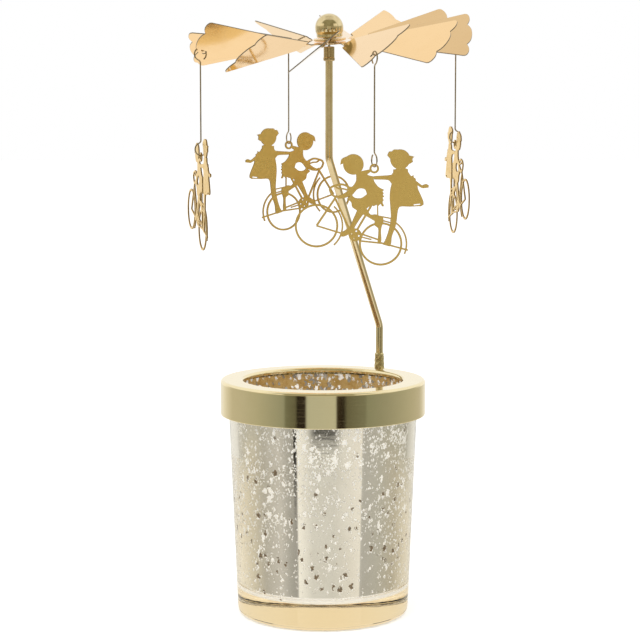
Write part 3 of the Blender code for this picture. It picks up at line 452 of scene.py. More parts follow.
def inverse(tree, share):
    return maths(tree, "SUBTRACT", 1.0, share)


def vector_maths(tree, operation, *values):
    return add_node(tree, "ShaderNodeVectorMath", enumerate(values), operation=operation).outputs[0]


def scaled_vector(tree, vector, scale):
    return add_node(tree, "ShaderNodeVectorMath", ((0, vector), ("Scale", scale)), operation="SCALE").outputs[0]


def mixed_colour(tree, share, first, second):
    return add_node(tree, "ShaderNodeMix", ((0, share), (6, first), (7, second)), data_type="RGBA").outputs[2]


def mixed_value(tree, share, first, second):
    return add_node(tree, "ShaderNodeMix", ((0, share), (2, first), (3, second)), data_type="FLOAT").outputs[0]


def stepped(tree, value, low, high):
    """0 below the low value, 1 above the high one, and smooth between them."""
    inputs = ((0, value), (1, low), (2, high))
    return add_node(tree, "ShaderNodeMapRange", inputs, interpolation_type="SMOOTHSTEP").outputs[0]


def noise(tree, vector, scale, detail, roughness=0.5):
    inputs = (("Vector", vector), ("Scale", scale), ("Detail", detail), ("Roughness", roughness))
    return add_node(tree, "ShaderNodeTexNoise", inputs).outputs


def cells(tree, vector, scale):
    return add_node(tree, "ShaderNodeTexVoronoi", (("Vector", vector), ("Scale", scale), ("Randomness", 1.0))).outputs


def new_sockets(tree, direction, sockets):
    """Add sockets to a tree's interface, each given as its name and kind, and a default where it has one."""
    for label, kind, *default in sockets:
        socket = tree.interface.new_socket(label, in_out=direction, socket_type="NodeSocket" + kind)
        if default:
            socket.default_value = default[0]


def new_group(name, inputs, outputs):
    """An empty shader group with its named sockets."""
    group = bpy.data.node_groups.new(name, "ShaderNodeTree")
    new_sockets(group, "INPUT", inputs)
    new_sockets(group, "OUTPUT", outputs)
    return group, group.nodes.new("NodeGroupInput").outputs, group.nodes.new("NodeGroupOutput")


def use_group(tree, group, **values):
    inputs = [(name.replace("_", " ").capitalize(), value) for name, value in values.items()]
    return add_node(tree, "ShaderNodeGroup", inputs, node_tree=group).outputs


def opaque(colour):
    return (*colour, 1.0)


def tarnish_group():
    """Cloudy patches that pull a metal's colour towards a darker one."""
    existing = bpy.data.node_groups.get("tarnish")
    if existing:
        return existing
    inputs = (
        ("Vector", "Vector"), ("Colour", "Color"), ("Stain", "Color"), ("Patch size", "Float", 0.01),
        ("Amount", "Float", 0.3),
    )
    group, start, end = new_group("tarnish", inputs, (("Colour", "Color"), ("Mask", "Float")))
    scale = maths(group, "DIVIDE", 1.0, start["Patch size"])
    large = noise(group, start["Vector"], scale, 4.0, 0.6)
    fine = noise(group, start["Vector"], product(group, scale, 7.0), 2.0)
    cloudy = mixed_value(group, 0.3, large["Fac"], fine["Fac"])
    mask = product(group, stepped(group, cloudy, 0.38, 0.68), start["Amount"])
    stained = mixed_colour(group, mask, start["Colour"], start["Stain"])
    set_inputs(group, end, (("Colour", stained), ("Mask", mask)))
    return group


def fine_lines_group():
    """Polishing or drawing lines: noise that is stretched along the work."""
    existing = bpy.data.node_groups.get("fine_lines")
    if existing:
        return existing
    inputs = (("Vector", "Vector"), ("Stretch", "Vector"), ("Waviness", "Float", 0.5))
    group, start, end = new_group("fine_lines", inputs, (("Height", "Float"), ("Mask", "Float")))
    stretched = vector_maths(group, "MULTIPLY", start["Vector"], start["Stretch"])
    lines = noise(group, stretched, 1.0, 3.0, 0.65)["Fac"]
    waves = noise(group, start["Vector"], 90.0, 1.0)["Fac"]
    height = mixed_value(group, start["Waviness"], lines, waves)
    set_inputs(group, end, (("Height", height), ("Mask", stepped(group, lines, 0.45, 0.75))))
    return group


def fleck_group():
    """Ragged spots, one at most to a cell, where the coating never took, each with a painted highlight on one side: a
    pale crescent offset from the spot.
    """
    existing = bpy.data.node_groups.get("flecks")
    if existing:
        return existing
    inputs = (("Vector", "Vector"), ("Spacing", "Float", 0.002), ("Share", "Float", 0.3), ("Size", "Float", 0.4))
    outputs = (("Mask", "Float"), ("Tone", "Float"), ("Lip", "Float"))
    group, start, end = new_group("flecks", inputs, outputs)
    scale = maths(group, "DIVIDE", 1.0, start["Spacing"])
    ragged = noise(group, start["Vector"], product(group, scale, 2.4), 3.0)["Color"]
    centred = vector_maths(group, "SUBTRACT", ragged, (0.5, 0.5, 0.5))
    pushed = scaled_vector(group, centred, product(group, start["Spacing"], 1.3))
    bent = vector_maths(group, "ADD", start["Vector"], pushed)
    inputs = (("Vector", bent), ("Rotation", (0.0, 0.6, 0.0)), ("Scale", (1.15, 1.0, 0.75)))
    slanted = add_node(group, "ShaderNodeMapping", inputs).outputs[0]
    spots = cells(group, slanted, scale)
    tones = add_node(group, "ShaderNodeSeparateColor", ((0, spots["Color"]),)).outputs
    chosen = maths(group, "LESS_THAN", tones[0], start["Share"])
    size = product(group, sloped(group, tones[2], 0.5, 0.5), start["Size"])
    reach = product(group, chosen, size)

    def within_reach(distance):
        return stepped(group, maths(group, "SUBTRACT", reach, distance), 0.0, 0.05)

    mask = within_reach(spots["Distance"])
    # Painted highlight: the same spot shifted a little, less the spot itself, gives the pale crescent beside it that
    # stands in for light catching its edge.
    beside = vector_maths(group, "ADD", slanted, scaled_vector(group, (0.16, 0.0, 0.22), start["Spacing"]))
    lip = product(group, within_reach(cells(group, beside, scale)["Distance"]), inverse(group, mask))
    set_inputs(group, end, (("Mask", mask), ("Tone", tones[1]), ("Lip", lip)))
    return group


def blank_material(name):
    material = bpy.data.materials.new(name)
    material.use_nodes = True
    tree = material.node_tree
    coordinates = add_node(tree, "ShaderNodeTexCoord").outputs["Object"]
    return material, tree, tree.nodes["Principled BSDF"], coordinates


def bumped(tree, height, distance, strength=1.0):
    inputs = (("Height", height), ("Distance", distance), ("Strength", strength))
    return add_node(tree, "ShaderNodeBump", inputs).outputs[0]


def metal_material(name, colour, stain, roughness, patch, amount, stretch, relief, waviness=0.5, cut_colour=None):
    """Polished metal with cloudy tarnish, fine lines in its gloss and relief, and duller cut edges on a sheet."""
    material, tree, shader, coordinates = blank_material(name)
    tarnish = use_group(tree, tarnish_group(), vector=coordinates, colour=opaque(colour), stain=opaque(stain),
                        patch_size=patch, amount=amount)
    lines = use_group(tree, fine_lines_group(), vector=coordinates, stretch=stretch, waviness=waviness)
    rougher = sloped(tree, lines["Mask"], roughness * 0.8, roughness)
    rougher = sloped(tree, tarnish["Mask"], 0.12, rougher)
    shade = tarnish["Colour"]
    if cut_colour:
        cut = add_node(tree, "ShaderNodeAttribute", attribute_name="cut_edge").outputs["Fac"]
        shade = mixed_colour(tree, cut, shade, opaque(cut_colour))
        rougher = sloped(tree, cut, 0.35, rougher)
    relief = bumped(tree, lines["Height"], relief)
    set_inputs(tree, shader, (("Metallic", 1.0), ("Base Color", shade), ("Roughness", rougher), ("Normal", relief)))
    return material


def glass_material(settings):
    """Clear glass whose long paths turn amber, with a few faint ripples."""
    material, tree, shader, coordinates = blank_material("amber_glass")
    lines = use_group(tree, fine_lines_group(), vector=coordinates, stretch=(40.0, 40.0, 260.0), waviness=0.4)
    set_inputs(tree, shader, (
        ("Base Color", WHITE), ("Metallic", 0.0), ("Roughness", 0.0), ("IOR", 1.5), ("Transmission Weight", 1.0),
        ("Normal", bumped(tree, lines["Height"], 0.00004)),
    ))
    inputs = (("Color", opaque(settings.tint)), ("Density", settings.tint_density))
    absorption = add_node(tree, "ShaderNodeVolumeAbsorption", inputs).outputs[0]
    set_inputs(tree, tree.nodes["Material Output"], (("Volume", absorption),))
    return material


def height_share(tree, coordinates, low, high):
    """0 at the low height and 1 at the high one, along the object's own Z."""
    height = add_node(tree, "ShaderNodeSeparateXYZ", ((0, coordinates),)).outputs["Z"]
    return stepped(tree, height, low, high)


def silver_lining_material(settings):
    """Mirror coating through the glass: pale flecks crowd the top, brown ones the lower half. The pale flecks glow
    with painted light, each fleck has a painted highlight beside it, and the heel is painted pale and glowing as a
    painted reflection of a lit floor under the base.
    """
    material, tree, shader, coordinates = blank_material("silver_lining")
    rise = height_share(tree, coordinates, FLECK_MARGIN, CUP_HEIGHT - FLECK_MARGIN)
    patchy = stepped(tree, noise(tree, coordinates, 70.0, 2.0)["Fac"], 0.35, 0.65)
    share = product(tree, sloped(tree, rise, 0.26, 0.10), sloped(tree, patchy, 0.9, 0.35))
    above_heel = height_share(tree, coordinates, 0.010, 0.034)
    extra = product(tree, above_heel, sloped(tree, rise, -0.2, 0.2))
    more = maths(tree, "ADD", product(tree, share, sloped(tree, above_heel, 0.5, 0.5)), extra)
    shifted = vector_maths(tree, "ADD", coordinates, (0.31, 0.17, 0.05))

    def flecks(vector, spacing, share, size):
        spacing *= settings.fleck_size
        return use_group(tree, fleck_group(), vector=vector, spacing=spacing, share=share, size=size)

    large = flecks(coordinates, 1.0, more, 0.52)
    small, dust = flecks(shifted, 0.5, share, 0.6), flecks(shifted, 0.32, share, 0.6)
    browner = maths(tree, "SUBTRACT", large["Tone"], product(tree, rise, 0.70))
    brownness = product(tree, stepped(tree, browner, 0.20, 0.28), large["Mask"], inverse(tree, large["Lip"]))
    # Painted light: below this band the heel and sole are painted pale and glowing, standing in for the lit floor
    # seen through the base.
    heel = product(tree, inverse(tree, height_share(tree, coordinates, *PAINTED_HEEL_LIGHT_BAND)), 0.95)
    mask = greatest(tree, large["Mask"], small["Mask"], dust["Mask"], large["Lip"], heel)
    fleck = mixed_colour(tree, brownness, opaque(settings.pale_fleck), opaque(settings.brown_fleck))
    tarnish = use_group(tree, tarnish_group(), vector=coordinates, colour=opaque(settings.silver),
                        stain=(0.80, 0.755, 0.67, 1.0), patch_size=0.03, amount=0.5)
    # Painted glow: the pale flecks, their painted highlights and the pale heel give off light as if lit from inside
    # the cup.
    pale = product(tree, mask, inverse(tree, brownness))
    set_inputs(tree, shader, (
        ("Base Color", mixed_colour(tree, mask, tarnish["Colour"], fleck)),
        ("Metallic", inverse(tree, mask)),
        ("Roughness", mixed_value(tree, mask, 0.05, 0.5)),
        ("Emission Color", mixed_colour(tree, pale, BLACK, opaque(settings.pale_fleck))),
        ("Emission Strength", settings.glow),
        ("Normal", bumped(tree, mask, 0.0001, 0.5)),
    ))
    return material


def gold_lining_material(settings):
    """The coating's back, inside the cup: dull gold with pale and grey flecks."""
    material, tree, shader, coordinates = blank_material("gold_lining")
    spacing = settings.fleck_size * 0.8
    flecks = use_group(tree, fleck_group(), vector=coordinates, spacing=spacing, share=0.75, size=0.66)
    mask, greyness = flecks["Mask"], stepped(tree, flecks["Tone"], 0.6, 0.75)
    fleck = mixed_colour(tree, greyness, opaque(settings.pale_fleck), (0.42, 0.40, 0.36, 1.0))
    tarnish = use_group(tree, tarnish_group(), vector=coordinates, colour=opaque(settings.gold),
                        stain=opaque(linear(212, 174, 106)), patch_size=0.004, amount=0.8)
    # Painted glow: the pale flecks give off light as if lit through the coating.
    pale = product(tree, mask, inverse(tree, greyness))
    lines = use_group(tree, fine_lines_group(), vector=coordinates, stretch=(500.0, 500.0, 500.0), waviness=0.1)
    set_inputs(tree, shader, (
        ("Base Color", mixed_colour(tree, mask, tarnish["Colour"], fleck)),
        ("Metallic", sloped(tree, mask, -0.8, 0.85)),
        ("Roughness", mixed_value(tree, mask, 0.34, 0.5)),
        ("Emission Color", mixed_colour(tree, pale, BLACK, opaque(settings.pale_fleck))),
        ("Emission Strength", settings.glow),
        ("Normal", bumped(tree, maths(tree, "ADD", lines["Height"], mask), 0.0002)),
    ))
    return material


# Shape helpers


def arc(centre, radius, start_deg, end_deg, steps):
    points = []
    for step in range(steps + 1):
        angle = math.radians(start_deg + (end_deg - start_deg) * step / steps)
        points.append((centre[0] + radius * math.cos(angle), centre[1] + radius * math.sin(angle)))
    return points


def supported(profile, closed):
    """The profile with a point close to each end of its long straight runs, so that they shade straight."""
    fuller = []
    following = profile[1:] + (profile[:1] if closed else [])
    for start, end in zip(profile, following):
        run = math.dist(start, end)
        fuller.append(start)
        if run > 4.0 * SUPPORT_GAP:
            for share in (SUPPORT_GAP / run, 1.0 - SUPPORT_GAP / run):
                fuller.append(tuple(a + (b - a) * share for a, b in zip(start, end)))
    return fuller if closed else fuller + [profile[-1]]


def turned_mesh(name, profile, steps, closed):
    """A profile of (radius, height) points spun round Z into one closed body."""
    profile = supported(profile, closed)
    shape = bmesh.new()
    ring = [shape.verts.new((radius, 0.0, height)) for radius, height in profile]
    edges = [shape.edges.new(pair) for pair in zip(ring, ring[1:])]
    if closed:
        edges.append(shape.edges.new((ring[-1], ring[0])))
    turn = {"cent": (0, 0, 0), "axis": (0, 0, 1), "angle": 2.0 * math.pi, "steps": steps, "use_merge": True}
    bmesh.ops.spin(shape, geom=ring + edges, **turn)
    mesh = bpy.data.meshes.new(name)
    weld_into(mesh, shape)
    smooth(mesh)
    return mesh


def turned_object(name, profile, steps, closed, place=None):
    mesh = turned_mesh(name, profile, steps, closed)
    if place:
        mesh.transform(place)
    return link_object(name, mesh)


def weld_into(mesh, shape):
    """Put the shape into the mesh, with its points welded and its faces turned outwards."""
    bmesh.ops.remove_doubles(shape, verts=shape.verts, dist=MERGE)
    bmesh.ops.recalc_face_normals(shape, faces=shape.faces)
    shape.to_mesh(mesh)
    shape.free()


def smooth(mesh, angle_deg=32.0):
    mesh.shade_smooth()
    mesh.set_sharp_from_angle(angle=math.radians(angle_deg))


def link_object(name, data):
    piece = bpy.data.objects.new(name, data)
    bpy.context.scene.collection.objects.link(piece)
    return piece


def make_plain(piece):
    """Replace a piece's mesh by its evaluated shape, and drop its modifiers."""
    bpy.context.view_layer.update()
    depsgraph = bpy.context.evaluated_depsgraph_get()
    evaluated = piece.evaluated_get(depsgraph)
    mesh = bpy.data.meshes.new_from_object(evaluated, preserve_all_data_layers=True, depsgraph=depsgraph)
    mesh.name = piece.name
    piece.modifiers.clear()
    piece.data = mesh


def face_outwards(mesh):
    shape = bmesh.new()
    shape.from_mesh(mesh)
    weld_into(mesh, shape)


def finish_piece(piece, body, nodes, materials=()):
    for material in materials:
        piece.data.materials.append(material)
    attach(piece, body)
    if nodes:
        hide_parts(*nodes)
    return piece


def is_inside(point, outlines):
    """Even-odd rule: a ray towards +X crosses the outlines an odd number of times."""
    crossed = False
    for outline in outlines:
        for (ax, ay), (bx, by) in zip(outline, outline[1:] + outline[:1]):
            if (ay > point[1]) != (by > point[1]) and ax + (point[1] - ay) * (bx - ax) / (by - ay) > point[0]:
                crossed = not crossed
    return crossed


def triangulated(outlines):
    """Points and triangles that cover the plane within the outlines, with the outlines as edges."""
    points, edges = [], []
    for outline in outlines:
        first = len(points)
        points += [Vector(point) for point in outline]
        edges += [(first + i, first + (i + 1) % len(outline)) for i in range(len(outline))]
    verts, _, triangles, sources, _, _ = delaunay_2d_cdt(points, edges, [], 0, MERGE)
    return verts, triangles, sources


def shifted_inwards(outline, distance):
    """The outline moved to its left, which is its solid side."""
    moved = []
    for place, here in enumerate(outline):
        before, after = Vector(outline[place - 1]), Vector(outline[(place + 1) % len(outline)])
        into, onward = (Vector(here) - before).normalized(), (after - Vector(here)).normalized()
        left = Vector((-into.y - onward.y, into.x + onward.x))
        moved.append(tuple(Vector(here) + left.normalized() * distance))
    return moved


def sheet_mesh(name, loops, thickness, rounding, flat_from=-1.0):
    """A flat sheet in the XY plane with rounded edges; faces that lie beyond flat_from along X are shaded flat."""
    half = thickness / 2.0
    slant = rounding * (1.0 - math.sqrt(0.5))
    levels = [(rounding, half), (slant, half - slant), (0.0, half - rounding)]
    levels += [(shift, -height) for shift, height in reversed(levels)]
    places, faces = [], []
    for loop in loops:
        rings = []
        for shift, height in levels:
            rings.append(range(len(places), len(places) + len(loop)))
            places += [(x, y, height) for x, y in shifted_inwards(loop, shift)]
        for upper, lower in zip(rings, rings[1:]):
            for place in range(len(loop)):
                onward = (place + 1) % len(loop)
                faces.append((upper[place], lower[place], lower[onward], upper[onward]))
    side_count = len(faces)
    caps = [shifted_inwards(loop, rounding) for loop in loops]
    starts = []
    total = 0
    for loop in loops:
        starts += [total + place for place in range(len(loop))]
        total += len(loop) * len(levels)
    lengths = [len(loop) for loop in loops for _ in loop]
    verts, triangles, sources = triangulated(caps)
    for triangle in triangles:
        middle = sum((verts[corner] for corner in triangle), Vector((0.0, 0.0))) / 3.0
        if is_inside(middle, caps):
            corners = [sources[corner][0] for corner in triangle]
            faces.append(tuple(starts[corner] for corner in corners))
            faces.append(tuple(starts[corner] + lengths[corner] * (len(levels) - 1) for corner in reversed(corners)))
    mesh = bpy.data.meshes.new(name)
    mesh.from_pydata(places, [], faces)
    rounded = [i < side_count or face.center.x < flat_from for i, face in enumerate(mesh.polygons)]
    mesh.polygons.foreach_set("use_smooth", rounded)
    raw = mesh.attributes.new("cut_edge", "FLOAT", "FACE")
    raw.data.foreach_set("value", [1.0 if i < side_count else 0.0 for i in range(len(faces))])
    face_outwards(mesh)
    return mesh


def curved_through(points, steps, closed):
    """A smooth line through the points that keeps its sharp corners."""
    count = len(points)
    line = []
    spans = range(count if closed else count - 1)
    vectors = [Vector(point) for point in points]

    def neighbour(place):
        return vectors[place % count] if closed else vectors[min(max(place, 0), count - 1)]

    def is_sharp(place):
        before, after = neighbour(place) - neighbour(place - 1), neighbour(place + 1) - neighbour(place)
        return before.length < MERGE or after.length < MERGE or before.angle(after) > math.radians(CORNER_DEG)

    for place in spans:
        start, end = neighbour(place), neighbour(place + 1)
        chord = end - start
        leave = chord if is_sharp(place) else (end - neighbour(place - 1)) / 2.0
        arrive = chord if is_sharp(place + 1) else (neighbour(place + 2) - start) / 2.0
        if leave.length > chord.length * TANGENT_LIMIT:
            leave = leave.normalized() * chord.length * TANGENT_LIMIT
        if arrive.length > chord.length * TANGENT_LIMIT:
            arrive = arrive.normalized() * chord.length * TANGENT_LIMIT
        for step in range(steps):
            t = step / steps
            point = start * (2 * t ** 3 - 3 * t ** 2 + 1) + leave * (t ** 3 - 2 * t ** 2 + t)
            point += end * (3 * t ** 2 - 2 * t ** 3) + arrive * (t ** 3 - t ** 2)
            line.append(tuple(point))
    if not closed:
        line.append(tuple(points[-1]))
    return line


# Geometry trees


def new_geometry_tree(name, inputs):
    tree = bpy.data.node_groups.new(name, "GeometryNodeTree")
    new_sockets(tree, "INPUT", (("Geometry", "Geometry"), *inputs))
    new_sockets(tree, "OUTPUT", (("Geometry", "Geometry"),))
    return tree, tree.nodes.new("NodeGroupInput").outputs, tree.nodes.new("NodeGroupOutput")


def finish_tree(tree, geometry, material, end):
    realized = add_node(tree, "GeometryNodeRealizeInstances", ((0, geometry),)).outputs[0]
    painted = add_node(tree, "GeometryNodeSetMaterial", (("Geometry", realized), ("Material", material))).outputs[0]
    set_inputs(tree, end, ((0, painted),))


def joined(tree, *shapes):
    return add_node(tree, "GeometryNodeJoinGeometry", [(0, shape) for shape in shapes]).outputs[0]


def on_points(tree, points, instance, *inputs):
    inputs = (("Points", points), ("Instance", instance), *inputs)
    return add_node(tree, "GeometryNodeInstanceOnPoints", inputs).outputs[0]


def moved_to(tree, geometry, place):
    return add_node(tree, "GeometryNodeSetPosition", (("Geometry", geometry), ("Position", place))).outputs[0]


def from_parts(tree, *parts):
    return add_node(tree, "ShaderNodeCombineXYZ", enumerate(parts)).outputs[0]


def rod_along(tree, path, radius, sides):
    """A round rod with closed ends along a curve."""
    inputs = (("Resolution", sides), ("Radius", radius))
    section = add_node(tree, "GeometryNodeCurvePrimitiveCircle", inputs, mode="RADIUS").outputs[0]
    inputs = (("Curve", path), ("Profile Curve", section), ("Fill Caps", True))
    return add_node(tree, "GeometryNodeCurveToMesh", inputs).outputs[0]


def apply_tree(piece, tree, sharp_deg=None, **values):
    """Give a piece the tree with its named inputs, and keep only the resulting mesh."""
    modifier = piece.modifiers.new(tree.name, "NODES")
    modifier.node_group = tree
    for item in tree.interface.items_tree:
        label = item.name.lower().replace(" ", "_")
        if item.in_out == "INPUT" and label in values:
            modifier[item.identifier] = values[label]
    make_plain(piece)
    face_outwards(piece.data)
    if sharp_deg:
        smooth(piece.data, sharp_deg)
    return piece


def swept_wire_tree():
    """A round wire along the edges of a path."""
    existing = bpy.data.node_groups.get("swept_wire")
    if existing:
        return existing
    inputs = (("Radius", "Float"), ("Sides", "Int"), ("Material", "Material"))
    tree, start, end = new_geometry_tree("swept_wire", inputs)
    path = add_node(tree, "GeometryNodeMeshToCurve", ((0, start["Geometry"]),)).outputs[0]
    finish_tree(tree, rod_along(tree, path, start["Radius"], start["Sides"]), start["Material"], end)
    return tree


def wound_ridges_tree():
    """Slanting ridges repeated round a sleeve's axis, added to the sleeve itself."""
    inputs = (
        ("Count", "Int"), ("Ridge Radius", "Float"), ("Sleeve Radius", "Float"), ("Flare", "Float"),
        ("Bottom", "Float"), ("Top", "Float"), ("Sweep", "Float"), ("Centre", "Vector"), ("Material", "Material"),
    )
    tree, start, end = new_geometry_tree("wound_ridges", inputs)
    line = add_node(tree, "GeometryNodeCurvePrimitiveLine", (("End", (0.0, 0.0, 1.0)),)).outputs[0]
    fine = add_node(tree, "GeometryNodeResampleCurve", (("Curve", line), ("Count", 22))).outputs[0]
    along = add_node(tree, "GeometryNodeSplineParameter").outputs["Factor"]
    angle = product(tree, along, start["Sweep"])
    radius = maths(tree, "MULTIPLY_ADD", inverse(tree, along), start["Flare"], start["Sleeve Radius"])
    place = from_parts(
        tree, product(tree, radius, maths(tree, "COSINE", angle)), product(tree, radius, maths(tree, "SINE", angle)),
        mixed_value(tree, along, start["Bottom"], start["Top"]))
    ridge = rod_along(tree, moved_to(tree, fine, place), start["Ridge Radius"], 8)
    inputs = (("Count", start["Count"]), ("Position", start["Centre"]))
    points = add_node(tree, "GeometryNodePoints", inputs).outputs[0]
    index = add_node(tree, "GeometryNodeInputIndex").outputs[0]
    step = maths(tree, "DIVIDE", 2.0 * math.pi, start["Count"])
    turn = from_parts(tree, 0.0, 0.0, product(tree, index, step))
    ring = on_points(tree, points, ridge, ("Rotation", turn))
    finish_tree(tree, joined(tree, start["Geometry"], ring), start["Material"], end)
    return tree


def bent_blades_tree():
    """A flat blade at each point, bent by the point's turn, twist and rise, and joined to the disc."""
    inputs = (
        ("Blade", "Object"), ("Drilled Blade", "Object"), ("Disc", "Object"), ("Disc Radius", "Float"),
        ("Twist Start", "Float"), ("Twist End", "Float"), ("Material", "Material"),
    )
    tree, start, end = new_geometry_tree("bent_blades", inputs)

    def attribute(name, kind="FLOAT"):
        inputs = (("Name", name),)
        return add_node(tree, "GeometryNodeInputNamedAttribute", inputs, data_type=kind).outputs["Attribute"]

    def shape_of(socket):
        return add_node(tree, "GeometryNodeObjectInfo", (("Object", socket),)).outputs["Geometry"]

    drilled = attribute("drilled", "BOOLEAN")
    plain = add_node(tree, "FunctionNodeBooleanMath", ((0, drilled),), operation="NOT").outputs[0]
    flat = joined(
        tree, on_points(tree, start["Geometry"], shape_of(start["Blade"]), ("Selection", plain)),
        on_points(tree, start["Geometry"], shape_of(start["Drilled Blade"]), ("Selection", drilled)))
    flat = add_node(tree, "GeometryNodeRealizeInstances", ((0, flat),)).outputs[0]

    place = add_node(tree, "GeometryNodeInputPosition").outputs[0]
    reach, lateral, height = add_node(tree, "ShaderNodeSeparateXYZ", ((0, place),)).outputs
    bent_share = stepped(tree, reach, start["Twist Start"], start["Twist End"])
    rise, twist = (product(tree, attribute(name), bent_share) for name in ("rise", "twist"))
    beyond = maths(tree, "SUBTRACT", reach, start["Disc Radius"])
    out = maths(tree, "MULTIPLY_ADD", beyond, maths(tree, "COSINE", rise), start["Disc Radius"])
    across = product(tree, lateral, maths(tree, "COSINE", twist))
    side = maths(tree, "SUBTRACT", across, product(tree, height, maths(tree, "SINE", twist)))
    raised = product(tree, beyond, maths(tree, "SINE", rise))
    lifted = maths(tree, "MULTIPLY_ADD", lateral, maths(tree, "SINE", twist), raised)
    up = maths(tree, "MULTIPLY_ADD", height, maths(tree, "COSINE", twist), lifted)
    inputs = (("Vector", from_parts(tree, out, side, up)), ("Angle", attribute("azimuth")))
    turned = add_node(tree, "ShaderNodeVectorRotate", inputs, rotation_type="Z_AXIS").outputs[0]
    whole = joined(tree, moved_to(tree, flat, turned), shape_of(start["Disc"]))
    finish_tree(tree, whole, start["Material"], end)
    return tree


def path_object(name, points):
    mesh = bpy.data.meshes.new(name)
    mesh.from_pydata([tuple(point) for point in points], [(i, i + 1) for i in range(len(points) - 1)], [])
    return link_object(name, mesh)


# Glass cup and its lining


def cup_outside(height):
    return CUP_FOOT_RADIUS + (CUP_RIM_RADIUS - CUP_FOOT_RADIUS) * height / CUP_HEIGHT


class CAROUSEL_OT_glass(Operator):
    """Make the clear glass cup with its thick base"""

    bl_idname = "carousel.glass"
    bl_label = "Glass cup"

    def execute(self, context):
        settings = context.scene.carousel.glass

        def inside(height):
            return cup_outside(height) - settings.wall

        foot = (cup_outside(CUP_FOOT_ROUND) - CUP_FOOT_ROUND, CUP_FOOT_ROUND)
        outer_rim = (cup_outside(CUP_HEIGHT) - CUP_RIM_ROUND, CUP_HEIGHT - CUP_RIM_ROUND)
        inner_rim = (inside(CUP_HEIGHT) + CUP_RIM_ROUND, CUP_HEIGHT - CUP_RIM_ROUND)
        heel_height = settings.floor + CUP_HEEL_ROUND
        heel = (inside(heel_height) - CUP_HEEL_ROUND, heel_height)
        profile = [(0.0, FOOT_HOLLOW), (foot[0] * FOOT_HOLLOW_SHARE, FOOT_HOLLOW_EDGE)]
        profile.append((foot[0] * FOOT_RING_SHARE, 0.0))
        profile += arc(foot, CUP_FOOT_ROUND, -90.0, 0.0, 12)
        profile += arc(outer_rim, CUP_RIM_ROUND, 0.0, 90.0, 8)
        profile += arc(inner_rim, CUP_RIM_ROUND, 90.0, 180.0, 8)
        profile += arc(heel, CUP_HEEL_ROUND, 0.0, -90.0, 12)
        profile.append((0.0, settings.floor))
        cup = turned_object("glass_cup_clear", profile, CUP_STEPS, closed=False)
        finish_piece(cup, "cup", ["glass_cup"], [glass_material(settings)])
        return {"FINISHED"}


class CAROUSEL_OT_lining(Operator):
    """Make the flecked mirror coating on the inside of the glass"""

    bl_idname = "carousel.lining"
    bl_label = "Mirror lining"

    def execute(self, context):
        glass = context.scene.carousel.glass
        settings = context.scene.carousel.lining

        def wall(depth, height):
            return cup_outside(height) - glass.wall - depth

        top = CUP_HEIGHT - LINING_TOP_DROP
        heel_height = glass.floor + CUP_HEEL_ROUND
        heel = (cup_outside(heel_height) - glass.wall - CUP_HEEL_ROUND, heel_height)
        outer, inner = -LINING_BITE, settings.thickness - LINING_BITE
        profile = [(0.0, glass.floor + outer)]
        profile += arc(heel, CUP_HEEL_ROUND - outer, -90.0, 0.0, 12)
        profile += [(wall(outer, top), top), (wall(inner, top), top)]
        profile += arc(heel, CUP_HEEL_ROUND - inner, 0.0, -90.0, 12)
        profile.append((0.0, glass.floor + inner))
        lining = turned_object("mirror_lining", profile, CUP_STEPS, closed=False)
        for face in lining.data.polygons:
            outward = face.normal.x * face.center.x + face.normal.y * face.center.y
            face.material_index = 0 if outward > 0.0 or face.normal.z < -0.5 else 1
        materials = [silver_lining_material(settings), gold_lining_material(settings)]
        finish_piece(lining, "cup", [], materials)
        return {"FINISHED"}


# Collar, mast, sleeve and ferrule


class CAROUSEL_OT_collar(Operator):
    """Make the spun collar that rests on the glass rim"""

    bl_idname = "carousel.collar"
    bl_label = "Collar"

    def execute(self, context):
        settings = context.scene.carousel.brass
        inner_round = COLLAR_ROUND - COLLAR_SHEET
        lip = COLLAR_OPENING_RADIUS + COLLAR_SHEET
        inside = COLLAR_RADIUS - COLLAR_SHEET
        under = COLLAR_TOP - COLLAR_SHEET
        hem = (COLLAR_RADIUS - COLLAR_HEM, COLLAR_BOTTOM + COLLAR_HEM)
        profile = arc(hem, COLLAR_HEM, -90.0, 0.0, 4)
        shoulder = COLLAR_TOP - COLLAR_ROUND
        profile += arc((COLLAR_RADIUS - COLLAR_ROUND, shoulder), COLLAR_ROUND, 0.0, 90.0, 10)
        profile += arc((COLLAR_OPENING_RADIUS + COLLAR_ROUND, shoulder), COLLAR_ROUND, 90.0, 180.0, 10)
        profile += [(COLLAR_OPENING_RADIUS, COLLAR_TOP - COLLAR_LIP), (lip, COLLAR_TOP - COLLAR_LIP)]
        profile += [(lip, under - inner_round), (lip + inner_round, under)]
        profile += [(inside - inner_round, under), (inside, under - inner_round), (inside, COLLAR_BOTTOM)]
        collar = turned_object("collar_spun", profile, COLLAR_STEPS, closed=True)
        drilled = MAST_RADIUS + DRILL_PLAY
        profile = [(0.0, -COLLAR_LIP), (drilled, -COLLAR_LIP), (drilled, COLLAR_LIP), (0.0, COLLAR_LIP)]
        place = Matrix.Translation((MAST_FOOT.x, MAST_FOOT.y, COLLAR_TOP))
        drill = turned_object("mast_drill", profile, 32, closed=False, place=place)
        hole = collar.modifiers.new("mast_hole", "BOOLEAN")
        hole.operation = "DIFFERENCE"
        hole.solver = "EXACT"
        hole.object = drill
        make_plain(collar)
        bpy.data.objects.remove(drill, do_unlink=True)
        smooth(collar.data)
        metal = metal_material(
            "champagne_brass", settings.collar, linear(226, 206, 150), settings.roughness,
            patch=0.03, amount=0.12, stretch=(60.0, 60.0, 2600.0), relief=0.0000012, waviness=0.5)
        collar.data.materials.clear()
        finish_piece(collar, "collar_and_mast", ["collar_ring"], [metal])
        return {"FINISHED"}


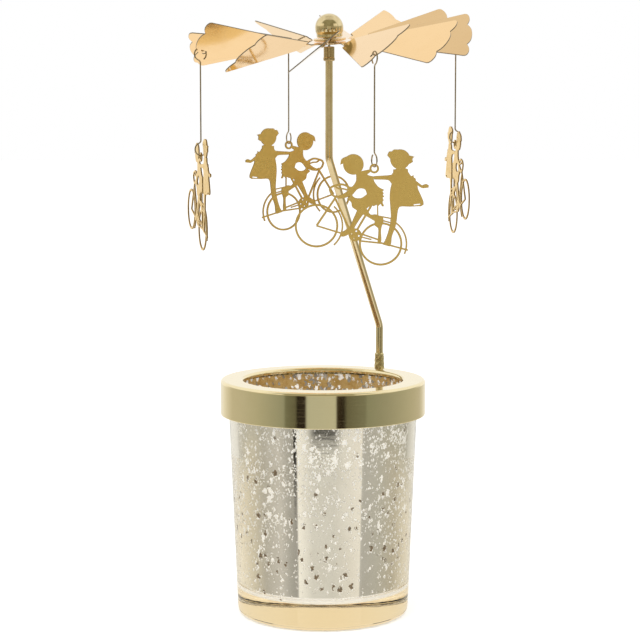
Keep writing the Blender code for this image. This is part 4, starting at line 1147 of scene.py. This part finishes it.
def bent_path(corners, radius, steps):
    """Straight runs through the corners, with an arc at each inner corner."""
    points = [corners[0]]
    for before, corner, after in zip(corners, corners[1:], corners[2:]):
        inward, onward = (before - corner).normalized(), (after - corner).normalized()
        half_angle = inward.angle(onward) / 2.0
        setback = radius / math.tan(half_angle)
        middle = corner + (inward + onward).normalized() * (radius / math.sin(half_angle))
        start, end = corner + inward * setback - middle, corner + onward * setback - middle
        sweep = start.angle(end)
        for step in range(steps + 1):
            share = step / steps
            first, second = (math.sin(sweep * part) / math.sin(sweep) for part in (1.0 - share, share))
            points.append(middle + start * first + end * second)
    points.append(corners[-1])
    return points


class CAROUSEL_OT_mast(Operator):
    """Make the bent mast, the crimped sleeve at its foot and the ferrule at its top"""

    bl_idname = "carousel.mast"
    bl_label = "Mast, sleeve and ferrule"

    def execute(self, context):
        settings = context.scene.carousel.brass
        foot = Vector((MAST_FOOT.x, MAST_FOOT.y, 0.0))
        top = Vector((SPIN_PLACE.x, SPIN_PLACE.y, 0.0))
        upward = Vector((0.0, 0.0, 1.0))
        bend = COLLAR_TOP + MAST_LOWER_RISE
        corners = [foot + upward * height for height in (MAST_BOTTOM, bend)]
        corners += [top + upward * height for height in (bend + MAST_SLANT_RISE, MAST_TOP)]
        rod = metal_material(
            "rod_brass", settings.rod, linear(196, 164, 98), settings.roughness * 1.4,
            patch=0.008, amount=0.35, stretch=(900.0, 900.0, 30.0), relief=0.000004, waviness=0.3)
        mast = path_object("mast_rod", bent_path(corners, MAST_BEND_RADIUS, MAST_BEND_STEPS))
        apply_tree(mast, swept_wire_tree(), sharp_deg=40.0, radius=MAST_RADIUS, sides=40, material=rod)
        finish_piece(mast, "collar_and_mast", ["mast"])

        satin = metal_material(
            "sleeve_brass", settings.sleeve, linear(120, 96, 44), 0.22,
            patch=0.0016, amount=0.7, stretch=(700.0, 700.0, 700.0), relief=0.00003, waviness=0.2)
        wide, narrow = SLEEVE_FOOT_RADIUS, SLEEVE_NECK_RADIUS
        profile = [(MAST_RADIUS, SLEEVE_BOTTOM), (wide, SLEEVE_BOTTOM)]
        for step in range(1, SLEEVE_STEPS):
            share = step / SLEEVE_STEPS
            radius = wide + (narrow - wide) * share ** 2.2 + SLEEVE_RIPPLE * math.sin(share * 9.0)
            profile.append((radius, SLEEVE_BOTTOM + (SLEEVE_TOP - SLEEVE_BOTTOM) * share))
        profile += [(narrow, SLEEVE_TOP - SLEEVE_CHAMFER_HEIGHT), (narrow - SLEEVE_CHAMFER, SLEEVE_TOP)]
        profile.append((MAST_RADIUS, SLEEVE_TOP))
        sleeve = turned_object("sleeve_crimped", profile, 48, closed=True, place=Matrix.Translation(foot))
        apply_tree(
            sleeve, wound_ridges_tree(), sharp_deg=50.0, count=RIDGE_COUNT, ridge_radius=RIDGE_RADIUS,
            sleeve_radius=narrow, flare=wide - narrow, bottom=SLEEVE_BOTTOM + RIDGE_FOOT_GAP,
            top=SLEEVE_TOP - RIDGE_TOP_GAP, sweep=RIDGE_SWEEP, centre=foot, material=satin)
        finish_piece(sleeve, "collar_and_mast", ["mast_foot_sleeve"])

        brown = metal_material(
            "ferrule_brass", settings.ferrule, linear(132, 98, 48), settings.roughness * 1.6,
            patch=0.004, amount=0.5, stretch=(800.0, 800.0, 60.0), relief=0.000004, waviness=0.3)
        bore, rim = MAST_RADIUS + FERRULE_BORE_PLAY, FERRULE_FOOT_ROUND
        neck, ceiling = FERRULE_RADIUS - FERRULE_STEP_DEPTH, FERRULE_TOP - FERRULE_CEILING
        step_start, step_end = (FERRULE_BOTTOM + height for height in FERRULE_STEP_HEIGHTS)
        profile = [(bore, FERRULE_BOTTOM)]
        profile += arc((FERRULE_RADIUS - rim, FERRULE_BOTTOM + rim), rim, -70.0, 0.0, 8)
        profile += [(FERRULE_RADIUS, step_start), (neck, step_end)]
        profile += arc((neck - FERRULE_TOP_ROUND, FERRULE_TOP - FERRULE_TOP_ROUND), FERRULE_TOP_ROUND, 0.0, 90.0, 5)
        profile += [(NEEDLE_CLEARANCE_RADIUS, FERRULE_TOP), (NEEDLE_CLEARANCE_RADIUS, ceiling), (bore, ceiling)]
        ferrule = turned_object("ferrule_turned", profile, 64, closed=True, place=Matrix.Translation(top))
        finish_piece(ferrule, "collar_and_mast", ["mast_ferrule"], [brown])
        return {"FINISHED"}


class CAROUSEL_OT_needle(Operator):
    """Give the pivot needle, the bearing cup and the bushing their steel and brass"""

    bl_idname = "carousel.needle"
    bl_label = "Needle and bearing"

    def execute(self, context):
        steel = metal_material(
            "needle_steel", (0.56, 0.56, 0.58), (0.30, 0.28, 0.26), 0.22,
            patch=0.002, amount=0.4, stretch=(200.0, 200.0, 6000.0), relief=0.000004, waviness=0.1)
        brass = metal_material(
            "bushing_brass", context.scene.carousel.brass.sleeve, linear(120, 96, 44), 0.2,
            patch=0.003, amount=0.4, stretch=(300.0, 300.0, 4000.0), relief=0.000006, waviness=0.1)
        for name, metal in (("pivot_needle", steel), ("bearing_cup", steel), ("hub_bushing", brass)):
            node = frame["nodes"][name]
            node.data.materials.clear()
            node.data.materials.append(metal)
        return {"FINISHED"}


# Fan


def fan_frame(settings):
    """The fan's own tilted frame, with the needle's point as its origin."""
    lean = Vector((-math.sin(settings.low_azimuth), math.cos(settings.low_azimuth), 0.0))
    return Matrix.Translation(SPIN_PLACE) @ Matrix.Rotation(settings.tilt, 4, lean)


def blade_half_width(reach):
    return reach * math.tan(math.pi / BLADE_COUNT) - BLADE_SLOT


def mirrored(shares):
    return tuple((-lateral, reach) for lateral, reach in reversed(shares))


def blade_outline():
    """Flat outline of one blade and its neck, pointing along +X."""
    fillet = NECK_FILLET
    right = []
    inner = FAN_DISC_RADIUS - NECK_OVERLAP
    for step in range(NECK_STEPS + 1):
        right.append((inner + (BLADE_ROOT - fillet - inner) * step / NECK_STEPS, -NECK_HALF_WIDTH))
    right += arc((BLADE_ROOT - fillet, -NECK_HALF_WIDTH - fillet), fillet, 90.0, 0.0, 5)[1:]
    root = blade_half_width(BLADE_ROOT)
    right += arc((BLADE_ROOT + fillet, -root + fillet), fillet, 180.0, 255.0, 5)
    width = blade_half_width(BLADE_CORNER)
    outline = list(right)
    crown = TIP_CROWN_SHARES + mirrored(TIP_CROWN_SHARES)[1:]
    for section in (TIP_LOBE_SHARES, crown, mirrored(TIP_LOBE_SHARES)):
        points = [(BLADE_CORNER + BLADE_TIP_REACH * reach, width * lateral) for lateral, reach in section]
        outline += curved_through(points, 4, closed=False)[:-1]
    outline.append((BLADE_CORNER, width))
    outline += [(x, -y) for x, y in reversed(right)]
    return outline


class CAROUSEL_OT_fan(Operator):
    """Make the stamped fan with its twelve twisted blades"""

    bl_idname = "carousel.fan"
    bl_label = "Fan"

    def execute(self, context):
        settings = context.scene.carousel.fan
        outline = blade_outline()
        hole = arc(HANG_HOLE_PLACE, HANG_HOLE_RADIUS, 0.0, 360.0, 20)[:-1]
        blank = sheet_mesh("blade_blank", [outline], settings.sheet, settings.rounding, BLADE_ROOT)
        blade = link_object("blade_blank", blank)
        blank = sheet_mesh("blade_drilled", [outline, hole[::-1]], settings.sheet, settings.rounding, BLADE_ROOT)
        drilled = link_object("blade_drilled", blank)
        half = settings.sheet / 2.0 + DISC_PROUD
        edge = half - settings.rounding
        profile = [(HUB_HOLE_RADIUS, -half), (FAN_DISC_RADIUS - settings.rounding, -half), (FAN_DISC_RADIUS, -edge)]
        profile += [(radius, -height) for radius, height in reversed(profile)]
        disc = turned_object("fan_disc", profile, HUB_STEPS, closed=True)
        carrier = bpy.data.meshes.new("fan_wheel_sheet")
        carrier.from_pydata([(0.0, 0.0, 0.0)] * BLADE_COUNT, [], [])
        first, turns = math.radians(BLADE_FIRST_AZIMUTH_DEG), enumerate(BLADE_TURNS_DEG)
        values = {
            "azimuth": [first + math.radians(turn) + 2.0 * math.pi * i / BLADE_COUNT for i, turn in turns],
            "twist": [math.radians(twist) for twist in BLADE_TWISTS_DEG],
            "rise": [math.radians(rise) for rise in BLADE_RISES_DEG],
        }
        for name, row in values.items():
            carrier.attributes.new(name, "FLOAT", "POINT").data.foreach_set("value", row)
        flags = [i in HANGER_BLADES for i in range(BLADE_COUNT)]
        carrier.attributes.new("drilled", "BOOLEAN", "POINT").data.foreach_set("value", flags)
        fan = link_object("fan_wheel_sheet", carrier)
        # The blades' cut edge colour is partly painted shade for the dark the edges reflect.
        gold = metal_material(
            "mirror_gold_sheet", settings.gold, settings.shade, 0.05, patch=0.03, amount=0.15,
            stretch=(120.0, 120.0, 120.0), relief=0.000004, waviness=0.8, cut_colour=settings.cut)
        apply_tree(
            fan, bent_blades_tree(), blade=blade, drilled_blade=drilled, disc=disc, disc_radius=FAN_DISC_RADIUS,
            twist_start=TWIST_START, twist_end=TWIST_END, material=gold)
        for helper in (blade, drilled, disc):
            bpy.data.objects.remove(helper, do_unlink=True)
        fan.data.transform(fan_frame(settings) @ Matrix.Translation((0.0, 0.0, -FAN_DROP)))
        finish_piece(fan, "fan", ["fan_wheel"])
        return {"FINISHED"}


class CAROUSEL_OT_hub(Operator):
    """Make the washer and the ball cap on the fan's middle"""

    bl_idname = "carousel.hub"
    bl_label = "Washer and ball cap"

    def execute(self, context):
        settings = context.scene.carousel
        place = fan_frame(settings.fan)
        bottom = -FAN_DROP + settings.fan.sheet / 2.0 + WASHER_GAP
        top = bottom + WASHER_THICKNESS
        rounding = WASHER_ROUND
        profile = [(HUB_HOLE_RADIUS, bottom)]
        profile += arc((WASHER_RADIUS - rounding, bottom + rounding), rounding, -90.0, 0.0, 6)
        profile += arc((WASHER_RADIUS - rounding, top - rounding), rounding, 0.0, 90.0, 6)
        profile.append((HUB_HOLE_RADIUS, top))
        washer = turned_object("washer_gold", profile, HUB_STEPS, closed=True, place=place)
        orange = metal_material(
            "washer_gold", linear(250, 222, 178), linear(222, 176, 116), 0.16,
            patch=0.006, amount=0.4, stretch=(300.0, 300.0, 3000.0), relief=0.000008, waviness=0.5)
        finish_piece(washer, "fan", ["cap_washer"], [orange])

        mouth, rounding = top + WASHER_GAP, BALL_MOUTH_ROUND
        profile = [(0.0, BALL_BORE_TOP), (HUB_HOLE_RADIUS, BALL_BORE_TOP), (HUB_HOLE_RADIUS, mouth)]
        profile += arc((BALL_MOUTH_RADIUS - rounding, mouth + rounding), rounding, -90.0, 0.0, 5)
        profile += arc((0.0, mouth + BALL_SKIRT), BALL_RADIUS, -24.0, 90.0, 40)[:-1]
        profile.append((0.0, mouth + BALL_SKIRT + BALL_RADIUS))
        ball = turned_object("ball_cap", profile, HUB_STEPS, closed=False, place=place)
        olive = metal_material(
            "ball_brass", settings.brass.cap, linear(150, 120, 66), settings.brass.roughness * 0.6,
            patch=0.0022, amount=0.45, stretch=(900.0, 900.0, 900.0), relief=0.00002, waviness=0.15)
        finish_piece(ball, "fan", ["pivot_cap"], [olive])
        return {"FINISHED"}


# Hangers and charms


def loop_points(centre_height, sign, steps):
    """Middle line of an open eye in the local XZ plane, from its free inner end to the stem."""
    start, end = 90.0 + LOOP_END_DEG, 450.0 - LOOP_JOIN_DEG
    points = []
    for across, up in arc((0.0, 0.0), LOOP_RADIUS, start, end, steps):
        points.append(Vector((across, 0.0, centre_height + sign * up)))
    corner = Vector((0.0, 0.0, centre_height + sign * LOOP_RADIUS / math.cos(math.radians(LOOP_JOIN_DEG))))
    stem = Vector((0.0, 0.0, centre_height + sign * (LOOP_RADIUS + LOOP_KINK)))
    last = points[-1]
    for step in range(1, LOOP_KINK_STEPS + 1):
        share = step / LOOP_KINK_STEPS
        points.append(last * (1.0 - share) ** 2 + corner * (2.0 * share * (1.0 - share)) + stem * share ** 2)
    return points


class CAROUSEL_OT_hangers(Operator):
    """Make the four wire hangers with an open eye at each end"""

    bl_idname = "carousel.hangers"
    bl_label = "Hangers"

    def execute(self, context):
        settings = context.scene.carousel.hanger
        wire = metal_material(
            "drawn_wire", settings.colour, linear(96, 82, 60), 0.16,
            patch=0.003, amount=0.6, stretch=(2500.0, 2500.0, 60.0), relief=0.00001, waviness=0.2)
        for number, letter in enumerate(HANGER_LETTERS, start=1):
            joint = JOINTS["hanger_" + letter + "_swing"]
            length = joint["pos_m"][2] - JOINTS["charm_" + letter + "_swing"]["pos_m"][2] - LOOP_RADIUS
            top, bottom = loop_points(0.0, -1.0, LOOP_STEPS), loop_points(-length, 1.0, LOOP_STEPS)
            stem = [top[-1].lerp(bottom[-1], step / STEM_STEPS) for step in range(1, STEM_STEPS)]
            heading = math.atan2(joint["axis"][0], -joint["axis"][1])
            place = Matrix.Translation(joint["pos_m"]) @ Matrix.Rotation(heading, 4, "Z")
            path = [place @ point for point in top + stem + bottom[::-1]]
            piece = path_object("hanger_wire_" + str(number), path)
            apply_tree(
                piece, swept_wire_tree(), sharp_deg=50.0, radius=settings.wire_radius, sides=settings.sides,
                material=wire)
            finish_piece(piece, "hanger_" + letter, ["hanger_" + str(number)])
        return {"FINISHED"}


def scaled(shares):
    return [(x * WHEELBASE, y * WHEELBASE) for x, y in shares]


def figure(shares):
    return curved_through(scaled(shares), 4, closed=True)


def circle_outline(centre, radius, steps):
    return arc(centre, radius, 0.0, 360.0, steps)[:-1]


def bar_outline(start, end, width):
    start, end = Vector(start), Vector(end)
    across = (end - start).orthogonal().normalized() * (width / 2.0)
    return [tuple(start - across), tuple(end - across), tuple(end + across), tuple(start + across)]


def band_outlines(centre, inner, outer, start_deg, end_deg, steps):
    near, far = arc(centre, inner, start_deg, end_deg, steps), arc(centre, outer, start_deg, end_deg, steps)
    if end_deg - start_deg >= 360.0:
        near[-1], far[-1] = near[0], far[0]
    return [[near[i], far[i], far[i + 1], near[i + 1]] for i in range(steps)]


def path_outlines(points, width):
    line = curved_through(points, 4, closed=False)
    outlines = [bar_outline(a, b, width) for a, b in zip(line, line[1:])]
    return outlines + [circle_outline(point, width / 2.0, 10) for point in line[1:-1]]


def charm_outlines():
    """Every filled outline of the two riders and their bicycle, and every outline cut from it."""
    rear, front = scaled((REAR_HUB_SHARE, FRONT_HUB_SHARE))
    chainring, eye, girl_head, rider_head = scaled((CHAINRING_SHARE, EYE_SHARE, GIRL_HEAD_SHARE, RIDER_HEAD_SHARE))
    filled = [figure(shares) for shares in (GIRL_FRINGE_SHARES, GIRL_CURL_SHARES, GIRL_BODY_SHARES)]
    filled += [figure(shares) for shares in (RIDER_FRINGE_SHARES, RIDER_LINK_SHARES, RIDER_BODY_SHARES)]
    filled.append(circle_outline(girl_head, GIRL_HEAD_RADIUS, 40))
    filled.append(circle_outline(rider_head, RIDER_HEAD_RADIUS, 40))
    filled.append(circle_outline(chainring, CHAINRING_RADIUS, 32))
    for hub in (rear, front):
        filled += band_outlines(hub, WHEEL_RADIUS - WHEEL_RIM, WHEEL_RADIUS, 0.0, 360.0, 72)
    for hub, span in ((front, FRONT_GUARD_DEG), (rear, REAR_GUARD_DEG)):
        filled += band_outlines(hub, GUARD_RADIUS - GUARD_WIDTH, GUARD_RADIUS, span[0], span[1], 20)
    filled += band_outlines(eye, EYE_HOLE_RADIUS, EYE_RADIUS, 0.0, 360.0, 32)
    filled += path_outlines(scaled(HANDLEBAR_SHARES), TUBE_WIDTH)
    filled += path_outlines(scaled(GRIP_SHARES), STAY_WIDTH)
    for table, width in ((FRAME_TUBE_SHARES, TUBE_WIDTH), (STAY_SHARES, STAY_WIDTH), (THIN_BAR_SHARES, THIN_WIDTH)):
        filled += [bar_outline(*scaled(ends), width) for ends in table]
    removed = [figure(ARM_GAP_SHARES), scaled(GIRL_HEM_SLOT_SHARES), circle_outline(eye, EYE_HOLE_RADIUS, 32)]
    for place in arc(chainring, CHAINRING_HOLE_CIRCLE, 0.0, 360.0, CHAINRING_HOLES)[:-1]:
        removed.append(circle_outline(place, CHAINRING_HOLE_RADIUS, 12))
    return filled, removed


def signed_area(outline):
    return sum(a[0] * b[1] - b[0] * a[1] for a, b in zip(outline, outline[1:] + outline[:1])) / 2.0


def covering(point, outlines):
    """Whether any of the outlines, each with its own box, holds the point."""
    for (left, right, bottom, top), outline in outlines:
        if left < point[0] < right and bottom < point[1] < top and is_inside(point, [outline]):
            return True
    return False


def boxed(outlines):
    rows = []
    for outline in outlines:
        xs, ys = [x for x, _ in outline], [y for _, y in outline]
        rows.append(((min(xs), max(xs), min(ys), max(ys)), outline))
    return rows


def joined_loops(filled, removed):
    """Outlines of the area that the filled outlines cover, less the removed ones, with the solid on their left."""
    verts, triangles, _ = triangulated(filled + removed)
    filled, removed = boxed(filled), boxed(removed)
    directed = set()
    for triangle in triangles:
        middle = sum((verts[corner] for corner in triangle), Vector((0.0, 0.0))) / 3.0
        if covering(middle, filled) and not covering(middle, removed):
            a, b, c = triangle
            directed.update(((a, b), (b, c), (c, a)))
    onward = {}
    for a, b in sorted(directed):
        if (b, a) not in directed:
            onward.setdefault(a, []).append(b)
    loops = []
    while onward:
        start = here = min(onward)
        loop = []
        while True:
            loop.append(here)
            following = onward[here].pop()
            if not onward[here]:
                del onward[here]
            here = following
            if here == start:
                break
        loops.append([verts[i] for i in loop])
    return loops


def thinned(loop):
    """Drop the points that lie on a straight run or crowd their neighbour."""
    kept = list(loop)
    place = 0
    passed = 0
    while passed < len(kept) and len(kept) > 3:
        before, here, after = kept[place - 1], kept[place % len(kept)], kept[(place + 1) % len(kept)]
        run = after - before
        off_line = abs((here - before).cross(run)) / max(run.length, MERGE)
        if off_line < OUTLINE_WELD / 4.0 or (here - before).length < OUTLINE_WELD:
            del kept[place % len(kept)]
            passed = 0
        else:
            place += 1
            passed += 1
        place %= len(kept)
    return kept


def charm_mesh(settings):
    """The figure's sheet in its own frame: the eye's pivot at the origin, X across the sheet and -Y ahead."""
    loops = []
    for loop in joined_loops(*charm_outlines()):
        outline = [tuple(point) for point in thinned(loop)]
        if abs(signed_area(outline)) > LEAST_WINDOW ** 2:
            loops.append(outline)
    hang = math.radians(CHARM_HANG_DEG)
    eye = Vector(scaled((EYE_SHARE,))[0])
    pivot = eye + Vector((math.sin(hang), math.cos(hang))) * EYE_PLAY
    turn = Matrix.Rotation(hang, 2)
    placed = [[tuple(turn @ (Vector(point) - pivot)) for point in loop] for loop in loops]
    mesh = sheet_mesh("charm_sheet", placed, settings.sheet, settings.rounding)
    upright = Matrix(((0.0, 0.0, 1.0, 0.0), (-1.0, 0.0, 0.0, 0.0), (0.0, 1.0, 0.0, 0.0), (0.0, 0.0, 0.0, 1.0)))
    mesh.transform(upright)
    face_outwards(mesh)
    return mesh


class CAROUSEL_OT_charms(Operator):
    """Make the four flat charms"""

    bl_idname = "carousel.charms"
    bl_label = "Charms"

    def execute(self, context):
        settings = context.scene.carousel.charm
        satin = metal_material(
            "satin_gold_sheet", settings.gold, settings.shade, 0.27, patch=0.008, amount=0.35,
            stretch=(900.0, 900.0, 900.0), relief=0.000006, waviness=0.2, cut_colour=settings.cut)
        sheet = charm_mesh(settings)
        for number, letter in enumerate(HANGER_LETTERS, start=1):
            joint = JOINTS["charm_" + letter + "_swing"]
            turn = math.atan2(joint["axis"][1], joint["axis"][0])
            mesh = sheet.copy()
            mesh.transform(Matrix.Translation(joint["pos_m"]) @ Matrix.Rotation(turn, 4, "Z"))
            piece = link_object("charm_figure_" + str(number), mesh)
            finish_piece(piece, "charm_" + letter, ["charm_" + str(number)], [satin])
        bpy.data.meshes.remove(sheet)
        return {"FINISHED"}


# Stage


def banded_ramp(tree, position, bands):
    """A colour ramp round the horizon through the given bands."""
    ramp = add_node(tree, "ShaderNodeValToRGB", ((0, position),))
    steps = ramp.color_ramp.elements
    while len(steps) > 1:
        steps.remove(steps[-1])
    for place, (azimuth, colour) in enumerate(bands):
        share = azimuth / 360.0 + 0.5
        step = steps[0] if place == 0 else steps.new(share)
        step.position = share
        step.color = opaque(colour)
    return ramp.outputs[0]


def build_world():
    """White behind the object and overhead, with the studio's darker walls on the camera's side for gloss."""
    world = bpy.data.worlds.new("studio")
    world.use_nodes = True
    tree = world.node_tree
    direction = add_node(tree, "ShaderNodeTexCoord").outputs["Generated"]
    x, y, z = add_node(tree, "ShaderNodeSeparateXYZ", ((0, direction),)).outputs
    azimuth = maths(tree, "ARCTAN2", x, product(tree, y, -1.0))
    position = sloped(tree, azimuth, 0.5 / math.pi, 0.5)

    def window(start_deg, end_deg, fade_deg):
        """1 between the two azimuths and 0 outside them, fading over the given angle inside each end."""
        start, end, fade = math.radians(start_deg), math.radians(end_deg), math.radians(fade_deg)
        return product(tree, stepped(tree, azimuth, start, start + fade), stepped(tree, azimuth, end, end - fade))

    def layered(under, *layers):
        """The colour with each (share, colour) laid over it in turn."""
        for share, colour in layers:
            under = mixed_colour(tree, share, under, colour)
        return under

    stripe = product(tree, window(-39.5, -34.5, 1.0), stepped(tree, z, -0.295, -0.258))
    patch = product(tree, window(-24.0, 28.0, 16.0), stepped(tree, z, -0.262, -0.247))
    low = layered(
        banded_ramp(tree, position, LOWER_BANDS),
        (greatest(tree, stripe, patch), (0.02, 0.018, 0.014, 1.0)),
    )
    level = stepped(tree, z, -0.13, -0.09)
    middle = layered(
        banded_ramp(tree, position, UPPER_BANDS),
        (product(tree, stepped(tree, y, 0.1, -0.2), level, 0.5), (0.67, 0.61, 0.46, 1.0)),
        (product(tree, stepped(tree, y, 0.5, 0.85), level), (1.0, 0.99, 0.96, 1.0)),
    )
    panes = greatest(tree, window(-82.0, -44.0, 4.0), window(34.0, 74.0, 4.0))
    high = layered(
        (0.98, 0.98, 0.96, 1.0),
        (stepped(tree, y, -0.12, -0.42), (0.34, 0.33, 0.23, 1.0)),
        (product(tree, panes, stepped(tree, z, 0.52, 0.44)), (1.0, 0.98, 0.90, 1.0)),
    )
    studio = layered(
        low,
        (stepped(tree, z, -0.235, -0.205), middle),
        (stepped(tree, z, 0.08, 0.24), high),
        (stepped(tree, z, 0.84, 0.96), (0.78, 0.77, 0.74, 1.0)),
        (stepped(tree, z, -0.40, -0.50), (1.0, 0.99, 0.97, 1.0)),
    )
    rays = add_node(tree, "ShaderNodeLightPath").outputs
    through = product(tree, rays["Is Transmission Ray"], maths(tree, "LESS_THAN", rays["Glossy Depth"], 0.5))
    plain = greatest(tree, rays["Is Camera Ray"], rays["Is Diffuse Ray"], through)
    set_inputs(tree, tree.nodes["Background"], (("Color", layered(studio, (plain, WHITE))),))
    bpy.context.scene.world = world


def floor_material(settings):
    """Pale floor that keeps the object's shadow, and lets gloss see the studio beyond it."""
    material, tree, shader, coordinates = blank_material("pale_floor")
    clouds = noise(tree, coordinates, 3.0, 2.0)["Fac"]
    shade = tuple(value * 0.985 for value in settings.floor)
    rays = add_node(tree, "ShaderNodeLightPath").outputs
    lifted = greatest(tree, rays["Is Camera Ray"], rays["Is Transmission Ray"])
    set_inputs(tree, shader, (
        ("Base Color", mixed_colour(tree, clouds, opaque(settings.floor), opaque(shade))),
        ("Roughness", 0.9), ("Specular IOR Level", 0.0), ("Emission Color", WHITE),
        ("Emission Strength", product(tree, lifted, 0.22)),
    ))
    reflected = maths(tree, "GREATER_THAN", rays["Glossy Depth"], 0.5)
    clear = add_node(tree, "ShaderNodeBsdfTransparent").outputs[0]
    mix = add_node(tree, "ShaderNodeMixShader", ((0, reflected), (1, shader.outputs[0]), (2, clear))).outputs[0]
    set_inputs(tree, tree.nodes["Material Output"], (("Surface", mix),))
    return material


def add_softbox(name, place, power):
    lamp = bpy.data.lights.new(name, "AREA")
    lamp.shape = "DISK"
    lamp.size = LIGHT_SIZE
    lamp.energy = power
    holder = link_object(name, lamp)
    holder.location = place
    holder.rotation_euler = (Vector(LIGHT_TARGET) - Vector(place)).to_track_quat("-Z", "Y").to_euler()
    holder.visible_glossy = False


class CAROUSEL_OT_stage(Operator):
    """Make the pale floor, the studio light and the camera"""

    bl_idname = "carousel.stage"
    bl_label = "Stage"

    def execute(self, context):
        settings = context.scene.carousel.stage
        floor = bpy.data.meshes.new("studio_floor")
        corners = [(x * FLOOR_REACH, y * FLOOR_REACH, 0.0) for x, y in ((-1, -1), (1, -1), (1, 1), (-1, 1))]
        floor.from_pydata(corners, [], [(0, 1, 2, 3)])
        floor.materials.append(floor_material(settings))
        link_object("studio_floor", floor)
        build_world()
        add_softbox("key_softbox", (-0.55, -0.75, 0.85), settings.key)
        add_softbox("fill_softbox", (0.7, -0.5, 0.5), settings.key * 0.4)
        camera = bpy.data.cameras.new("camera")
        camera.lens = settings.lens
        camera.sensor_width = 36.0
        holder = link_object("camera", camera)
        holder.location = settings.place
        holder.rotation_euler = (math.pi / 2.0 - settings.pitch, 0.0, 0.0)
        scene = context.scene
        scene.camera = holder
        scene.view_settings.view_transform = "Standard"
        return {"FINISHED"}


class CAROUSEL_PT_panel(Panel):
    """Sizes, colours and pieces of the candle carousel"""

    bl_idname = "CAROUSEL_PT_panel"
    bl_label = "Candle carousel"
    bl_space_type = "VIEW_3D"
    bl_region_type = "UI"
    bl_category = "Carousel"

    def draw(self, context):
        settings = context.scene.carousel
        for group in ("glass", "lining", "brass", "fan", "hanger", "charm", "stage"):
            box = self.layout.box()
            box.label(text=group.capitalize())
            part = getattr(settings, group)
            for name in part.bl_rna.properties.keys():
                if name not in ("rna_type", "name"):
                    box.prop(part, name)
        for operator in OPERATORS:
            self.layout.operator(operator.bl_idname)


SETTINGS = (
    GlassSettings, LiningSettings, BrassSettings, FanSettings, HangerSettings, CharmSettings, StageSettings,
    CarouselSettings,
)
OPERATORS = (
    CAROUSEL_OT_glass, CAROUSEL_OT_lining, CAROUSEL_OT_collar, CAROUSEL_OT_mast, CAROUSEL_OT_needle, CAROUSEL_OT_fan,
    CAROUSEL_OT_hub, CAROUSEL_OT_hangers, CAROUSEL_OT_charms, CAROUSEL_OT_stage,
)
CLASSES = SETTINGS + OPERATORS + (CAROUSEL_PT_panel,)


def register():
    for item in CLASSES:
        bpy.utils.register_class(item)
    bpy.types.Scene.carousel = PointerProperty(type=CarouselSettings)


def unregister():
    del bpy.types.Scene.carousel
    for item in reversed(CLASSES):
        bpy.utils.unregister_class(item)


def main():
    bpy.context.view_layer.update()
    register()
    bpy.ops.carousel.glass()
    bpy.ops.carousel.lining()
    bpy.ops.carousel.collar()
    bpy.ops.carousel.mast()
    bpy.ops.carousel.needle()
    bpy.ops.carousel.fan()
    bpy.ops.carousel.hub()
    bpy.ops.carousel.hangers()
    bpy.ops.carousel.charms()
    bpy.ops.carousel.stage()


if __name__ == "__main__":
    main()
